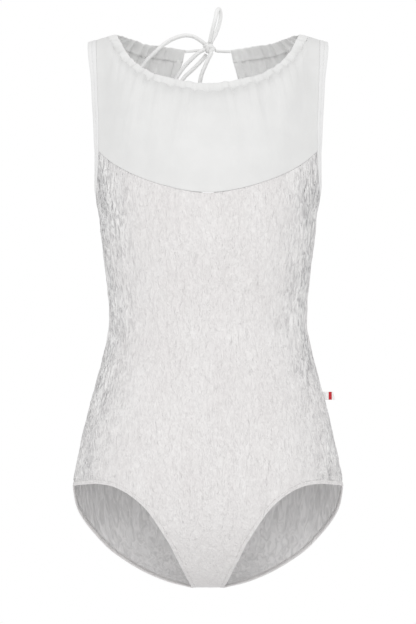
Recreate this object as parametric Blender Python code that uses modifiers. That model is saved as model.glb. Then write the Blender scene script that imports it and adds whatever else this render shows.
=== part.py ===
"""A sleeveless leotard of crushed velvet, filled out as if it were worn.

A smooth yoke, gathered into a drawstring casing at the neck, is sewn to the velvet
front and to the velvet back. The back yoke is parted by a keyhole, across which the
drawstring is tied in a bow. Every piece is a thin wall, parted from the next one by
a narrow seam gap. The garment faces -Y, +X is the wearer's left, and the origin is
the point midway between the two neck ends of the shoulders.
Sizes are in millimetres, and become metres when a mesh is made.
"""

from collections import namedtuple
from math import asin, ceil, cos, degrees, pi, radians, sin

import bmesh
import bpy
from mathutils import Vector

MM = 0.001
FRONT = -1
BACK = 1
LEFT = 1
RIGHT = -1

# Cloth
VELVET_WALL = 1.5
YOKE_WALL = 1.2
CASING_WALL = 2.0
BAND_WALL = 2.0

# Gaps between the pieces: wider where two walls meet at a ridge, so that their inner sides clear
SEAM_GAP = 0.4
YOKE_GAP = 0.7
RIDGE_GAP = 1.0
SHOULDER_GAP = 1.8
BAND_GAP = 0.45
BAND_RELIEF = 0.5
BAND_PROUD = 0.3

# Trims
ARM_BAND_WIDTH = 10.3
ARM_BAND_TURN = 1.0
BAND_TURN_TOP = 0.85
BAND_TURN_RISE = 0.25
LEG_HEM_WIDTH = 4.3
CASING_BULGE = 1.4
ROUNDNESS = 2.2

# Rough lengths of the pieces, which turn a gap into a share of a piece
VELVET_HALF_GIRTH = 170.0
YOKE_HALF_WIDTH = 140.0
YOKE_HEIGHT = 130.0
BACK_YOKE_WIDTH = 120.0
BACK_YOKE_HEIGHT = 150.0
CASING_HEIGHT = 12.5
CASING_HALF_LENGTH = 155.0
BACK_CASING_LENGTH = 115.0

# Mesh density
BODY_COLUMNS = 24
YOKE_COLUMNS = 76
YOKE_ROWS = 8
YOKE_CROWDING = 1.5
BACK_YOKE_COLUMNS = 26
CASING_COLUMNS = 88
BACK_CASING_COLUMNS = 32
CASING_ROWS = 2

# The share of a yoke's upper edge that lies along the neck, the rest being the shoulder seam
NECK_SHARE = 0.94
YOKE_BULGE = 5.0
SHOULDER_END = (134.0, 0.0, -6.5)

# Level is the way down the centre line of the front or the back
Figure = namedtuple("Figure", "level height depth half_width")
FRONT_FIGURE = [
    Figure(142, -142, 101.5, 139.3),
    Figure(170, -170, 107.0, 137.4),
    Figure(200, -200, 111.0, 133.6),
    Figure(215, -215, 111.5, 130.6),
    Figure(240, -240, 110.5, 128.2),
    Figure(286, -286, 104.0, 122.5),
    Figure(321, -321, 97.0, 119.0),
    Figure(353, -353, 92.5, 118.8),
    Figure(384, -384, 94.0, 125.2),
    Figure(421, -421, 99.5, 134.9),
    Figure(456, -456, 105.0, 144.4),
    Figure(494, -494, 108.5, 153.0),
    Figure(530, -530, 108.5, 160.4),
    Figure(562, -561, 103.5, 163.0),
    Figure(590, -587, 94.0, 163.0),
    Figure(615, -608, 81.0, 163.0),
    Figure(640, -627, 64.0, 163.0),
    Figure(665, -643, 45.0, 163.0),
    Figure(690, -655, 23.0, 163.0),
    Figure(715, -663, -1.0, 163.0),
    Figure(740, -666, -26.0, 163.0),
]
BACK_FIGURE = [
    Figure(142, -142, 101.5, 139.3),
    Figure(170, -170, 104.0, 137.4),
    Figure(200, -200, 103.0, 133.6),
    Figure(215, -215, 101.0, 130.6),
    Figure(240, -240, 97.0, 128.2),
    Figure(286, -286, 89.0, 122.5),
    Figure(321, -321, 84.5, 119.0),
    Figure(353, -353, 84.0, 118.8),
    Figure(384, -384, 89.0, 125.2),
    Figure(421, -421, 99.5, 134.9),
    Figure(456, -456, 111.0, 144.4),
    Figure(494, -494, 119.0, 153.0),
    Figure(530, -530, 119.5, 160.4),
    Figure(562, -562, 115.0, 163.0),
    Figure(593, -592, 107.0, 163.0),
    Figure(621, -617, 95.0, 163.0),
    Figure(645, -636, 80.0, 163.0),
    Figure(667, -650, 63.0, 163.0),
    Figure(687, -660, 46.0, 163.0),
    Figure(708, -666, 26.0, 163.0),
]

# A row of cloth runs from the centre line to an edge, turn degrees round the figure
Row = namedtuple("Row", "centre edge turn bend")
FRONT_ROWS = [
    Row(195, 142.0, 68.0, 1.45),
    Row(212, 171.0, 72.5, 1.5),
    Row(226, 191.0, 81.0, 1.6),
    Row(238, 200.0, 90.0, 1.8),
    Row(266, 240.0, 90.0, 2.0),
    Row(298, 286.0, 90.0, 2.0),
    Row(329, 326.0, 90.0, 2.0),
    Row(356, 357.0, 90.0, 2.0),
    Row(385, 394.0, 90.0, 2.0),
    Row(410, 436.0, 90.0, 2.0),
    Row(434, 480.0, 90.0, 2.0),
    Row(455, 514.0, 90.0, 2.0),
    Row(472, 537.4, 90.0, 2.0),
    Row(488, 532.6, 66.6, 2.0),
    Row(504, 530.3, 52.2, 2.0),
    Row(521, 533.4, 40.4, 2.0),
    Row(543, 545.3, 30.0, 2.0),
    Row(572, 566.5, 21.3, 2.0),
    Row(607, 603.0, 13.7, 2.0),
    Row(635, 630.6, 10.1, 2.0),
    Row(668, 665.0, 6.7, 2.0),
    Row(708, 707.0, 4.4, 2.0),
    Row(740, 740.0, 4.0, 2.0),
]
BACK_ROWS = [
    Row(187, 142.0, 68.0, 1.45),
    Row(205, 171.0, 72.5, 1.5),
    Row(221, 191.0, 81.0, 1.6),
    Row(234, 200.0, 90.0, 1.8),
    Row(264, 240.0, 90.0, 2.0),
    Row(298, 286.0, 90.0, 2.0),
    Row(331, 326.0, 90.0, 2.0),
    Row(360, 357.0, 90.0, 2.0),
    Row(394, 394.0, 90.0, 2.0),
    Row(430, 436.0, 90.0, 2.0),
    Row(467, 480.0, 90.0, 2.0),
    Row(499, 514.0, 90.0, 2.0),
    Row(524, 537.4, 90.0, 2.0),
    Row(546, 549.0, 82.5, 2.0),
    Row(568, 565.0, 75.5, 2.0),
    Row(590, 584.0, 65.5, 2.0),
    Row(612, 605.0, 54.5, 2.0),
    Row(632, 626.0, 44.5, 2.0),
    Row(650, 645.0, 34.7, 2.0),
    Row(667, 664.0, 25.4, 2.0),
    Row(682, 678.0, 18.3, 2.0),
    Row(696, 694.0, 10.5, 2.0),
    Row(708, 708.0, 4.0, 2.0),
]
ARMHOLE_ROWS = 3
LEG_ROW = 12

# The neck's top edge, and the seam below its casing, from the middle (way 0) to the shoulder (way 1)
Neck = namedtuple("Neck", "way top_x top_y top_z seam_x seam_y seam_z")
FRONT_NECK = [
    Neck(0.00, 0.0, -68.0, -64.2, 0.0, -74.5, -76.0),
    Neck(0.25, 39.0, -64.0, -58.8, 41.5, -70.5, -70.5),
    Neck(0.43, 64.5, -56.0, -51.5, 69.5, -62.5, -62.0),
    Neck(0.60, 84.6, -44.0, -38.4, 92.5, -50.0, -46.5),
    Neck(0.77, 98.8, -27.5, -21.3, 108.5, -31.0, -27.0),
    Neck(0.88, 105.6, -13.5, -8.0, 116.4, -15.0, -11.0),
    Neck(0.96, 109.0, -4.5, -1.0, 119.9, -5.0, -3.3),
    Neck(1.00, 110.0, 0.0, 0.0, 121.0, 0.0, -2.5),
]
BACK_NECK = [
    Neck(0.00, 28.0, 67.0, -12.0, 30.5, 69.5, -24.0),
    Neck(0.17, 46.0, 63.0, -9.5, 49.0, 66.0, -21.5),
    Neck(0.34, 64.0, 56.0, -8.0, 68.0, 59.5, -19.8),
    Neck(0.50, 78.0, 46.0, -6.5, 83.5, 49.5, -17.5),
    Neck(0.67, 90.5, 32.0, -3.5, 98.5, 35.0, -12.5),
    Neck(0.84, 101.5, 16.0, -1.2, 111.5, 17.5, -6.7),
    Neck(0.94, 107.4, 6.0, -0.2, 118.3, 6.5, -3.4),
    Neck(1.00, 110.0, 0.0, 0.0, 121.0, 0.0, -2.5),
]

# The armhole's edge on a yoke, from the shoulder (way 0) to the yoke's lower corner (way 1)
Edge = namedtuple("Edge", "way x y z")
ARMHOLE_EDGE = [
    Edge(0.00, 134.0, 0.0, -6.5),
    Edge(0.05, 133.9, 8.0, -7.9),
    Edge(0.13, 133.6, 19.0, -15.0),
    Edge(0.28, 132.7, 31.5, -36.0),
    Edge(0.54, 131.3, 39.5, -75.0),
    Edge(0.77, 129.8, 42.0, -110.0),
]

# The edge of the keyhole on the back yoke, from the velvet (way 0) up to the casing (way 1)
KEYHOLE_FOOT = 6.0
KEYHOLE_EDGE = [
    Edge(0.10, 17.5, 102.0, -172.0),
    Edge(0.22, 29.5, 99.0, -153.0),
    Edge(0.42, 41.0, 93.0, -121.0),
    Edge(0.62, 43.5, 86.5, -88.0),
    Edge(0.82, 38.5, 78.0, -54.0),
]

# Gathers of a yoke, from the casing down: across is the share of the way from the middle to the armhole
Gather = namedtuple("Gather", "across drift reach height width")
FRONT_GATHERS = [
    Gather(0.05, 0.03, 0.34, 1.5, 0.030),
    Gather(0.13, 0.06, 0.62, 2.5, 0.034),
    Gather(0.21, 0.08, 0.40, 1.8, 0.030),
    Gather(0.29, 0.12, 0.70, 3.1, 0.036),
    Gather(0.37, 0.15, 0.55, 2.4, 0.032),
    Gather(0.45, 0.20, 0.66, 3.4, 0.036),
    Gather(0.53, 0.22, 0.50, 2.4, 0.032),
    Gather(0.61, 0.22, 0.42, 2.2, 0.030),
    Gather(0.70, 0.20, 0.30, 2.0, 0.030),
    Gather(0.80, 0.14, 0.24, 1.5, 0.028),
]
BACK_GATHERS = [
    Gather(0.16, 0.03, 0.55, 2.1, 0.050),
    Gather(0.28, 0.05, 0.75, 3.1, 0.055),
    Gather(0.40, 0.08, 0.50, 2.4, 0.050),
    Gather(0.52, 0.10, 0.70, 3.1, 0.055),
    Gather(0.64, 0.12, 0.45, 2.2, 0.050),
    Gather(0.76, 0.12, 0.35, 2.0, 0.050),
]
FRONT_PUCKERS = 22
BACK_PUCKERS = 8
PUCKER_HEIGHT = 0.9
GATHER_START = 0.03

# The drawstring: a stretched part on either side of the knot, two loops and two tails
CORD_DIAMETER = 5.0
TAUT_DIAMETER = 3.6
CORD_STEP = 2.8
KNOT_CENTRE = (1.2, 65.5, -10.0)
KNOT_SIZE = (16.0, 13.0, 17.0)
KNOT_GAP = 0.3
KNOT_LEAD = 3.0

# The ways in which the cord leaves the knot, and the routes from there
TAUT_LEFT_LEAVES = (1.0, 0.1, -0.35)
TAUT_LEFT = [(18.0, 66.0, -13.9), (27.8, 65.9, -14.2)]
TAUT_RIGHT_LEAVES = (-1.0, 0.35, -0.25)
TAUT_RIGHT = [(-16.0, 67.4, -13.0), (-27.8, 65.9, -14.2)]
LOOP_UP_LEAVES = (0.15, -0.42, 0.9)
LOOP_UP_RETURNS = (0.3, 0.4, 0.85)
LOOP_UP = [
    (4.6, 58.0, 7.5), (7.0, 56.2, 17.0), (9.0, 55.6, 25.0), (10.6, 57.4, 33.4),
    (12.9, 62.6, 37.6), (14.8, 68.6, 36.0), (15.4, 72.4, 28.6), (13.0, 74.0, 17.5), (8.8, 73.4, 7.0),
]
LOOP_SIDE_LEAVES = (-0.75, -0.3, 0.7)
LOOP_SIDE_RETURNS = (-0.85, -0.5, -0.35)
LOOP_SIDE = [
    (-16.5, 60.0, 3.2), (-27.5, 58.8, 5.0), (-40.5, 55.6, 1.4), (-53.0, 50.6, -6.2),
    (-65.0, 44.2, -17.5), (-76.5, 38.4, -30.0), (-84.0, 35.6, -43.5), (-86.5, 35.2, -58.0),
    (-80.5, 37.4, -70.0), (-68.5, 41.4, -74.5), (-55.5, 46.0, -70.5), (-46.0, 50.0, -60.5),
    (-38.5, 53.0, -47.5), (-30.0, 55.0, -35.0), (-21.5, 56.4, -25.6), (-13.0, 57.6, -17.6),
]
TAIL_RIGHT_LEAVES = (-0.45, 0.1, -0.9)
TAIL_RIGHT = [
    (-8.6, 64.0, -26.0), (-18.6, 58.6, -36.5), (-29.0, 52.4, -47.0), (-36.2, 49.4, -60.0),
    (-40.0, 47.8, -74.0), (-41.6, 47.0, -89.0), (-42.0, 46.8, -105.0),
]
TAIL_LEFT_LEAVES = (0.25, -0.6, -0.75)
TAIL_LEFT = [
    (0.6, 55.6, -23.5), (-3.6, 53.2, -33.0), (-7.6, 51.8, -43.0), (-10.4, 50.8, -56.0),
    (-12.4, 50.0, -70.0), (-13.4, 49.6, -85.0), (-13.8, 49.5, -100.0), (-13.9, 49.5, -118.0),
]

# The folded tape sewn in the left side seam
TAB_REACH = 13.0
TAB_HEIGHT = 9.5
TAB_THICKNESS = 1.8
TAB_LEVEL = 433.5


def read(table, column, at, flat_start=False):
    """Read a column of a table at a value of its first column, along a smooth curve."""
    keys = [row[0] for row in table]
    values = [getattr(row, column) for row in table]
    last = len(keys) - 1
    at = min(max(at, keys[0]), keys[last])
    i = 0
    while i < last - 1 and at > keys[i + 1]:
        i += 1

    def rise(j):
        return (values[j + 1] - values[j]) / (keys[j + 1] - keys[j])

    def slope(j):
        if j == 0:
            return 0.0 if flat_start else rise(0)
        if j == last:
            return rise(last - 1)
        before = keys[j] - keys[j - 1]
        after = keys[j + 1] - keys[j]
        return (rise(j - 1) * after + rise(j) * before) / (before + after)

    step = keys[i + 1] - keys[i]
    t = (at - keys[i]) / step
    return (values[i] * (1 + 2 * t) * (1 - t) ** 2 + values[i + 1] * t * t * (3 - 2 * t)
            + slope(i) * step * t * (1 - t) ** 2 - slope(i + 1) * step * t * t * (1 - t))


def point_of(table, way):
    """The point of an edge table at a share of its way."""
    return Vector([read(table, column, way) for column in ("x", "y", "z")])


def mirrored(point, side):
    """A point of the left half, moved to the side it is wanted on."""
    return Vector((point[0] * side, point[1], point[2]))


def figure_point(face, level, turn):
    """The point of the figure at a level, turn degrees round from its centre line."""
    table = FRONT_FIGURE if face == FRONT else BACK_FIGURE
    half_width = read(table, "half_width", level)
    across = abs(sin(radians(turn))) ** (2 / ROUNDNESS)
    along = max(cos(radians(turn)), 0.0) ** (2 / ROUNDNESS)
    x = half_width * across * (1 if turn >= 0 else -1)
    return Vector((x, face * read(table, "depth", level) * along, read(table, "height", level)))


def figure_normal(face, level, turn):
    """The direction that faces out of the figure."""
    turn = min(turn, 88.0)
    along = figure_point(face, level, turn + 1.0) - figure_point(face, level, turn - 1.0)
    down = figure_point(face, level + 1.0, turn) - figure_point(face, level - 1.0, turn)
    return (down.cross(along) * -face).normalized()


def row_place(rows, share, index):
    """Level and turn of a velvet panel, share of the way from its centre line to its edge."""
    row = rows[index]
    swing = abs(share) ** row.bend
    return row.centre + (row.edge - row.centre) * swing, row.turn * share


def velvet_point(face, share, index):
    """The point of a velvet panel on one of its rows."""
    rows = FRONT_ROWS if face == FRONT else BACK_ROWS
    level, turn = row_place(rows, share, index)
    return figure_point(face, level, turn)


def neck_point(face, way, across):
    """A point of the casing: across 0 on the seam and 1 on the top edge, way -1 to 1."""
    table = FRONT_NECK if face == FRONT else BACK_NECK
    middle = face == FRONT
    place = abs(way)
    seam = Vector((read(table, "seam_x", place), read(table, "seam_y", place, middle),
                   read(table, "seam_z", place, middle)))
    top = Vector((read(table, "top_x", place), read(table, "top_y", place, middle),
                  read(table, "top_z", place, middle)))
    return mirrored(seam.lerp(top, across), 1 if way >= 0 else -1)


def yoke_top(face, share):
    """The upper edge of a yoke: along the casing, then along the shoulder seam."""
    place = abs(share)
    side = 1 if share >= 0 else -1
    if place <= NECK_SHARE:
        return neck_point(face, share / NECK_SHARE, 0.0)
    shoulder = neck_point(face, 1.0, 0.0)
    return mirrored(shoulder.lerp(Vector(SHOULDER_END), (place - NECK_SHARE) / (1 - NECK_SHARE)), side)


def yoke_side(face, way):
    """The armhole edge of a yoke on the left, way 0 at its lower corner and 1 at the shoulder."""
    corner = velvet_point(face, 1.0, 0)
    table = ARMHOLE_EDGE + [Edge(1.0, corner.x, abs(corner.y), corner.z)]
    point = point_of(table, 1.0 - way)
    return Vector((point.x, point.y * face, point.z))


def keyhole_side(way):
    """The keyhole edge of the left back yoke, way 0 at the velvet and 1 at the casing."""
    foot = velvet_point(BACK, keyhole_share(), 0)
    head = neck_point(BACK, 0.0, 0.0)
    table = [Edge(0.0, *foot)] + KEYHOLE_EDGE + [Edge(1.0, *head)]
    return point_of(table, way)


def keyhole_share():
    """The share of the velvet's upper edge that lies inside the keyhole's foot."""
    row = BACK_ROWS[0]
    across = KEYHOLE_FOOT / read(BACK_FIGURE, "half_width", row.centre)
    return degrees(asin(across ** (ROUNDNESS / 2))) / row.turn


def patch(lower, upper, first, second, across, up):
    """A point of the surface spanned by four edges."""
    edges = lower(across) * (1 - up) + upper(across) * up + first(up) * (1 - across) + second(up) * across
    corners = (lower(0.0) * (1 - across) + lower(1.0) * across) * (1 - up)
    corners += (upper(0.0) * (1 - across) + upper(1.0) * across) * up
    return edges - corners


def front_yoke_point(share, up):
    """A point of the front yoke before it is gathered, share -1 to 1 from armhole to armhole."""
    across = (share + 1) / 2
    point = patch(
        lambda s: velvet_point(FRONT, 2 * s - 1, 0),
        lambda s: yoke_top(FRONT, 2 * s - 1),
        lambda s: mirrored(yoke_side(FRONT, s), RIGHT),
        lambda s: yoke_side(FRONT, s),
        across, up)
    point.y -= YOKE_BULGE * sin(pi * up) * (1 - share * share)
    return point


def back_yoke_point(share, up):
    """A point of the left back yoke before it is gathered, share 0 at the keyhole and 1 at the armhole."""
    start = keyhole_share()
    point = patch(
        lambda s: velvet_point(BACK, start + (1 - start) * s, 0),
        lambda s: yoke_top(BACK, s),
        keyhole_side,
        lambda s: yoke_side(BACK, s),
        share, up)
    point.y += YOKE_BULGE * sin(pi * up) * share * (1 - share)
    return point


def normal_of(surface, share, up):
    """The direction that faces out of a surface whose share runs to the left of the wearer."""
    small = 0.004
    low = max(up - small, 0.0)
    high = min(up + small, 1.0)
    near = max(share - small, -1.0)
    far = min(share + small, 1.0)
    along = surface(far, up) - surface(near, up)
    rise = surface(share, high) - surface(share, low)
    return along.cross(rise).normalized()


def yoke_rise(index):
    """The share of a yoke's height at one of its rows, which lie closer towards the casing."""
    return 1 - (1 - index / YOKE_ROWS) ** YOKE_CROWDING


def gather_height(gathers, share, up):
    """How far the cloth stands out in a gather: most at the casing, none below the gather's reach."""
    height = 0.0
    for gather in gathers:
        depth = (1 - up) / gather.reach
        if depth < 1:
            centre = gather.across + gather.drift * depth * gather.reach
            spread = gather.width * (1 + depth)
            offset = (share - centre) / spread
            height += gather.height * (1 - depth) ** 1.5 / (1 + offset ** 4)
    return height


def gathered(surface, gathers, face, share, up):
    """A point of a yoke, moved out by its gathers."""
    point = surface(share, up)
    height = gather_height(gathers, abs(share), up) * min((1 - up) / GATHER_START, 1.0)
    if height < 0.01:
        return point
    return point + normal_of(surface, share, up) * (height if face == FRONT else -height)


def casing_surface(face, way, across, puckers):
    """A point of the casing's outer side: it bulges over the cord and puckers along its length."""
    small = 0.002
    point = neck_point(face, way, across)
    ahead = neck_point(face, min(way + small, 1.0), across)
    behind = neck_point(face, max(way - small, -1.0), across)
    rise = neck_point(face, way, 1.0) - neck_point(face, way, 0.0)
    out = (ahead - behind).cross(rise).normalized() * -face
    pucker = PUCKER_HEIGHT * cos(2 * pi * puckers * abs(way)) * sin(pi * (0.15 + 0.7 * across))
    return point + out * (CASING_BULGE * sin(pi * across) + pucker)


def material(name, colour, roughness):
    """A plain finish for one piece."""
    finish = bpy.data.materials.new(name)
    finish.use_nodes = True
    shader = finish.node_tree.nodes["Principled BSDF"]
    shader.inputs["Base Color"].default_value = (*colour, 1.0)
    shader.inputs["Roughness"].default_value = roughness
    shader.inputs["Metallic"].default_value = 0.0
    return finish


def add_object(name, data, colour, roughness, collection):
    """Put a piece in the collection, with a finish of its own."""
    piece = bpy.data.objects.new(name, data)
    data.materials.append(material(name, colour, roughness))
    collection.objects.link(piece)
    return piece


def sheet(name, columns, rows, place, wall, look, collection):
    """A grid moved by place(across, up), both 0 to 1, and given a wall on its inner side."""
    mesh = bpy.data.meshes.new(name)
    grid = bmesh.new()
    bmesh.ops.create_grid(grid, x_segments=columns, y_segments=rows, size=0.5)
    for vertex in grid.verts:
        vertex.co = place(vertex.co.x + 0.5, vertex.co.y + 0.5) * MM
    grid.to_mesh(mesh)
    grid.free()
    mesh.shade_smooth()
    piece = add_object(name, mesh, *look, collection)
    solid = piece.modifiers.new("Wall", "SOLIDIFY")
    solid.thickness = wall * MM
    solid.offset = -1.0
    return piece


def inset(share, length, low=0.0, high=1.0, gap=SEAM_GAP):
    """A share of a length from low to high, kept half a gap clear of both ends."""
    margin = gap / 2 / length
    return min(max(share, low + margin), high - margin)


def velvet(name, face, look, collection):
    """A velvet panel: its rows run from the yoke seam down to the seam under the body."""
    rows = len(FRONT_ROWS) - 1

    def place(across, up):
        share = (across * 2 - 1) * -face
        index = round((1 - up) * rows)
        share = inset(share, VELVET_HALF_GIRTH, -1.0, 1.0)
        point = velvet_point(face, share, index)
        if index in (0, rows):
            towards = velvet_point(face, share, 1 if index == 0 else rows - 1) - point
            point = point + towards.normalized() * (SEAM_GAP / 2 if index == 0 else RIDGE_GAP / 2)
        return point

    return sheet(name, BODY_COLUMNS, rows, place, VELVET_WALL, look, collection)


def yoke_front(look, collection):
    """The gathered front yoke, in one piece from armhole to armhole."""
    def place(across, up):
        share = inset(across * 2 - 1, YOKE_HALF_WIDTH, -1.0, 1.0)
        rise = inset(yoke_rise(round(up * YOKE_ROWS)), YOKE_HEIGHT, gap=YOKE_GAP)
        return gathered(front_yoke_point, FRONT_GATHERS, FRONT, share, rise)

    return sheet("front_yoke", YOKE_COLUMNS, YOKE_ROWS, place, YOKE_WALL, look, collection)


def yoke_back(name, side, look, collection):
    """One half of the back yoke, beside the keyhole."""
    def place(across, up):
        share = inset(1 - across if side == LEFT else across, BACK_YOKE_WIDTH)
        rise = inset(yoke_rise(round(up * YOKE_ROWS)), BACK_YOKE_HEIGHT, gap=YOKE_GAP)
        point = gathered(back_yoke_point, BACK_GATHERS, BACK, share, rise)
        return mirrored(point, side)

    return sheet(name, BACK_YOKE_COLUMNS, YOKE_ROWS, place, YOKE_WALL, look, collection)


def casing_front(look, collection):
    """The casing of the front neck, from shoulder to shoulder."""
    def place(across, up):
        way = inset(across * 2 - 1, CASING_HALF_LENGTH, -1.0, 1.0, SHOULDER_GAP)
        return casing_surface(FRONT, way, inset(up, CASING_HEIGHT), FRONT_PUCKERS / 2)

    return sheet("neck_casing_front", CASING_COLUMNS, CASING_ROWS, place, CASING_WALL, look, collection)


def casing_back(name, side, look, collection):
    """The casing of one half of the back neck, from the keyhole to the shoulder."""
    def place(across, up):
        way = inset(1 - across if side == LEFT else across, BACK_CASING_LENGTH, 0.0, 1.0, SHOULDER_GAP)
        return mirrored(casing_surface(BACK, way, inset(up, CASING_HEIGHT), BACK_PUCKERS), side)

    return sheet(name, BACK_CASING_COLUMNS, CASING_ROWS, place, CASING_WALL, look, collection)


def arm_stations():
    """Points and outward directions round the left armhole; the band turns in towards the arm above."""
    stations = []
    for face in (FRONT, BACK):
        half = []
        surface = front_yoke_point if face == FRONT else back_yoke_point
        for index in range(ARMHOLE_ROWS, -1, -1):
            rows = FRONT_ROWS if face == FRONT else BACK_ROWS
            level, turn = row_place(rows, 1.0, index)
            half.append((figure_point(face, level, turn), figure_normal(face, level, turn)))
        for index in range(1, YOKE_ROWS + 1):
            rise = yoke_rise(index)
            out = normal_of(surface, 1.0, min(rise, 0.98)) * -face
            out.x += ARM_BAND_TURN * rise * sin(pi * rise) * min(max(BAND_TURN_TOP - rise, 0) / BAND_TURN_RISE, 1)
            half.append((yoke_side(face, rise), out.normalized()))
        if face == BACK:
            half.reverse()
            half = half[1:-1]
        stations += half
    return stations


def leg_stations():
    """Points and outward directions round the left leg opening, where the panels' rows end."""
    stations = []
    for face in (FRONT, BACK):
        rows = FRONT_ROWS if face == FRONT else BACK_ROWS
        half = []
        for index in range(LEG_ROW, len(rows)):
            level, turn = row_place(rows, 1.0, index)
            half.append((figure_point(face, level, turn), figure_normal(face, level, turn)))
        if face == BACK:
            half.reverse()
            half = half[1:-1]
        stations += half
    return stations


def edge_band(name, stations, side, width, away, look, collection):
    """A closed band that carries the cloth on past the edge of an opening."""
    count = len(stations)
    inner = BAND_PROUD - BAND_WALL
    corners = [(BAND_GAP, BAND_PROUD), (BAND_GAP + width, BAND_PROUD),
               (BAND_GAP + width, inner), (BAND_GAP + BAND_RELIEF, inner)]
    bpy.ops.mesh.primitive_torus_add(major_segments=count, minor_segments=len(corners))
    piece = bpy.context.object
    mesh = piece.data
    for spot in range(count):
        point, out = stations[spot]
        along = (stations[(spot + 1) % count][0] - stations[spot - 1][0]).normalized()
        across = along.cross(out).normalized() * away
        for corner, (reach, height) in enumerate(corners):
            place = point + across * reach + out * height
            mesh.vertices[spot * len(corners) + corner].co = mirrored(place, side) * MM
    shape = bmesh.new()
    shape.from_mesh(mesh)
    bmesh.ops.recalc_face_normals(shape, faces=shape.faces)
    shape.to_mesh(mesh)
    shape.free()
    bpy.data.objects.remove(piece)
    mesh.name = name
    return add_object(name, mesh, *look, collection)


def smooth_route(points, spacing):
    """Points read at even steps from a smooth curve through a cord's route."""
    route = []
    for i in range(len(points) - 1):
        before = Vector(points[max(i - 1, 0)])
        start = Vector(points[i])
        end = Vector(points[i + 1])
        after = Vector(points[min(i + 2, len(points) - 1)])
        steps = max(1, ceil((end - start).length / spacing))
        for step in range(steps):
            t = step / steps
            leave = (end - before) / 2
            arrive = (after - start) / 2
            route.append(start * (1 + 2 * t) * (1 - t) ** 2 + end * t * t * (3 - 2 * t)
                         + leave * t * (1 - t) ** 2 - arrive * t * t * (1 - t))
    route.append(Vector(points[-1]))
    return route


def knot_exit(leaves):
    """Two points where a cord leaves the knot squarely: just off its surface, and a little further out."""
    way = Vector(leaves).normalized()
    reach = 1 / Vector([way[i] * 2 / KNOT_SIZE[i] for i in range(3)]).length
    square = Vector([way[i] / KNOT_SIZE[i] ** 2 for i in range(3)]).normalized()
    surface = Vector(KNOT_CENTRE) + way * reach
    return [surface + square * KNOT_GAP, surface + square * KNOT_LEAD]


def cord(name, points, diameter, look, collection):
    """A round cord along its route."""
    curve = bpy.data.curves.new(name, "CURVE")
    curve.dimensions = "3D"
    curve.bevel_depth = diameter / 2 * MM
    curve.bevel_resolution = 2
    curve.use_fill_caps = True
    curve.resolution_u = 1
    route = smooth_route(points, diameter * CORD_STEP)
    spline = curve.splines.new("POLY")
    spline.points.add(len(route) - 1)
    for spot, point in zip(spline.points, route):
        spot.co = (*(point * MM), 1.0)
    return add_object(name, curve, *look, collection)


def knot(look, collection):
    """The lump of the tied knot."""
    mesh = bpy.data.meshes.new("bow_knot")
    shape = bmesh.new()
    bmesh.ops.create_uvsphere(shape, u_segments=12, v_segments=8, radius=0.5)
    for vertex in shape.verts:
        vertex.co = Vector([vertex.co[i] * KNOT_SIZE[i] + KNOT_CENTRE[i] for i in range(3)]) * MM
    shape.to_mesh(mesh)
    shape.free()
    mesh.shade_smooth()
    return add_object("bow_knot", mesh, *look, collection)


def side_tab(look, collection):
    """The folded tape that stands out of the left side seam."""
    edge = figure_point(FRONT, TAB_LEVEL, 90.0).x
    start = edge + SEAM_GAP
    mesh = bpy.data.meshes.new("side_tab")
    shape = bmesh.new()
    bmesh.ops.create_cube(shape, size=1.0)
    size = (TAB_REACH, TAB_THICKNESS, TAB_HEIGHT)
    centre = (start + TAB_REACH / 2, 0.0, -TAB_LEVEL)
    lean = (edge - figure_point(FRONT, TAB_LEVEL + TAB_HEIGHT / 2, 90.0).x) / (TAB_HEIGHT / 2)
    for vertex in shape.verts:
        place = Vector([vertex.co[i] * size[i] + centre[i] for i in range(3)])
        place.x += lean * (place.z - centre[2])
        vertex.co = place * MM
    fold = [edge for edge in shape.edges if all(vertex.co.x > centre[0] * MM for vertex in edge.verts)
            and abs(edge.verts[0].co.z - edge.verts[1].co.z) > TAB_HEIGHT / 2 * MM]
    bmesh.ops.bevel(shape, geom=fold, offset=0.4 * TAB_THICKNESS * MM, segments=2, affect="EDGES")
    shape.to_mesh(mesh)
    shape.free()
    return add_object("side_tab", mesh, *look, collection)


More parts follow.
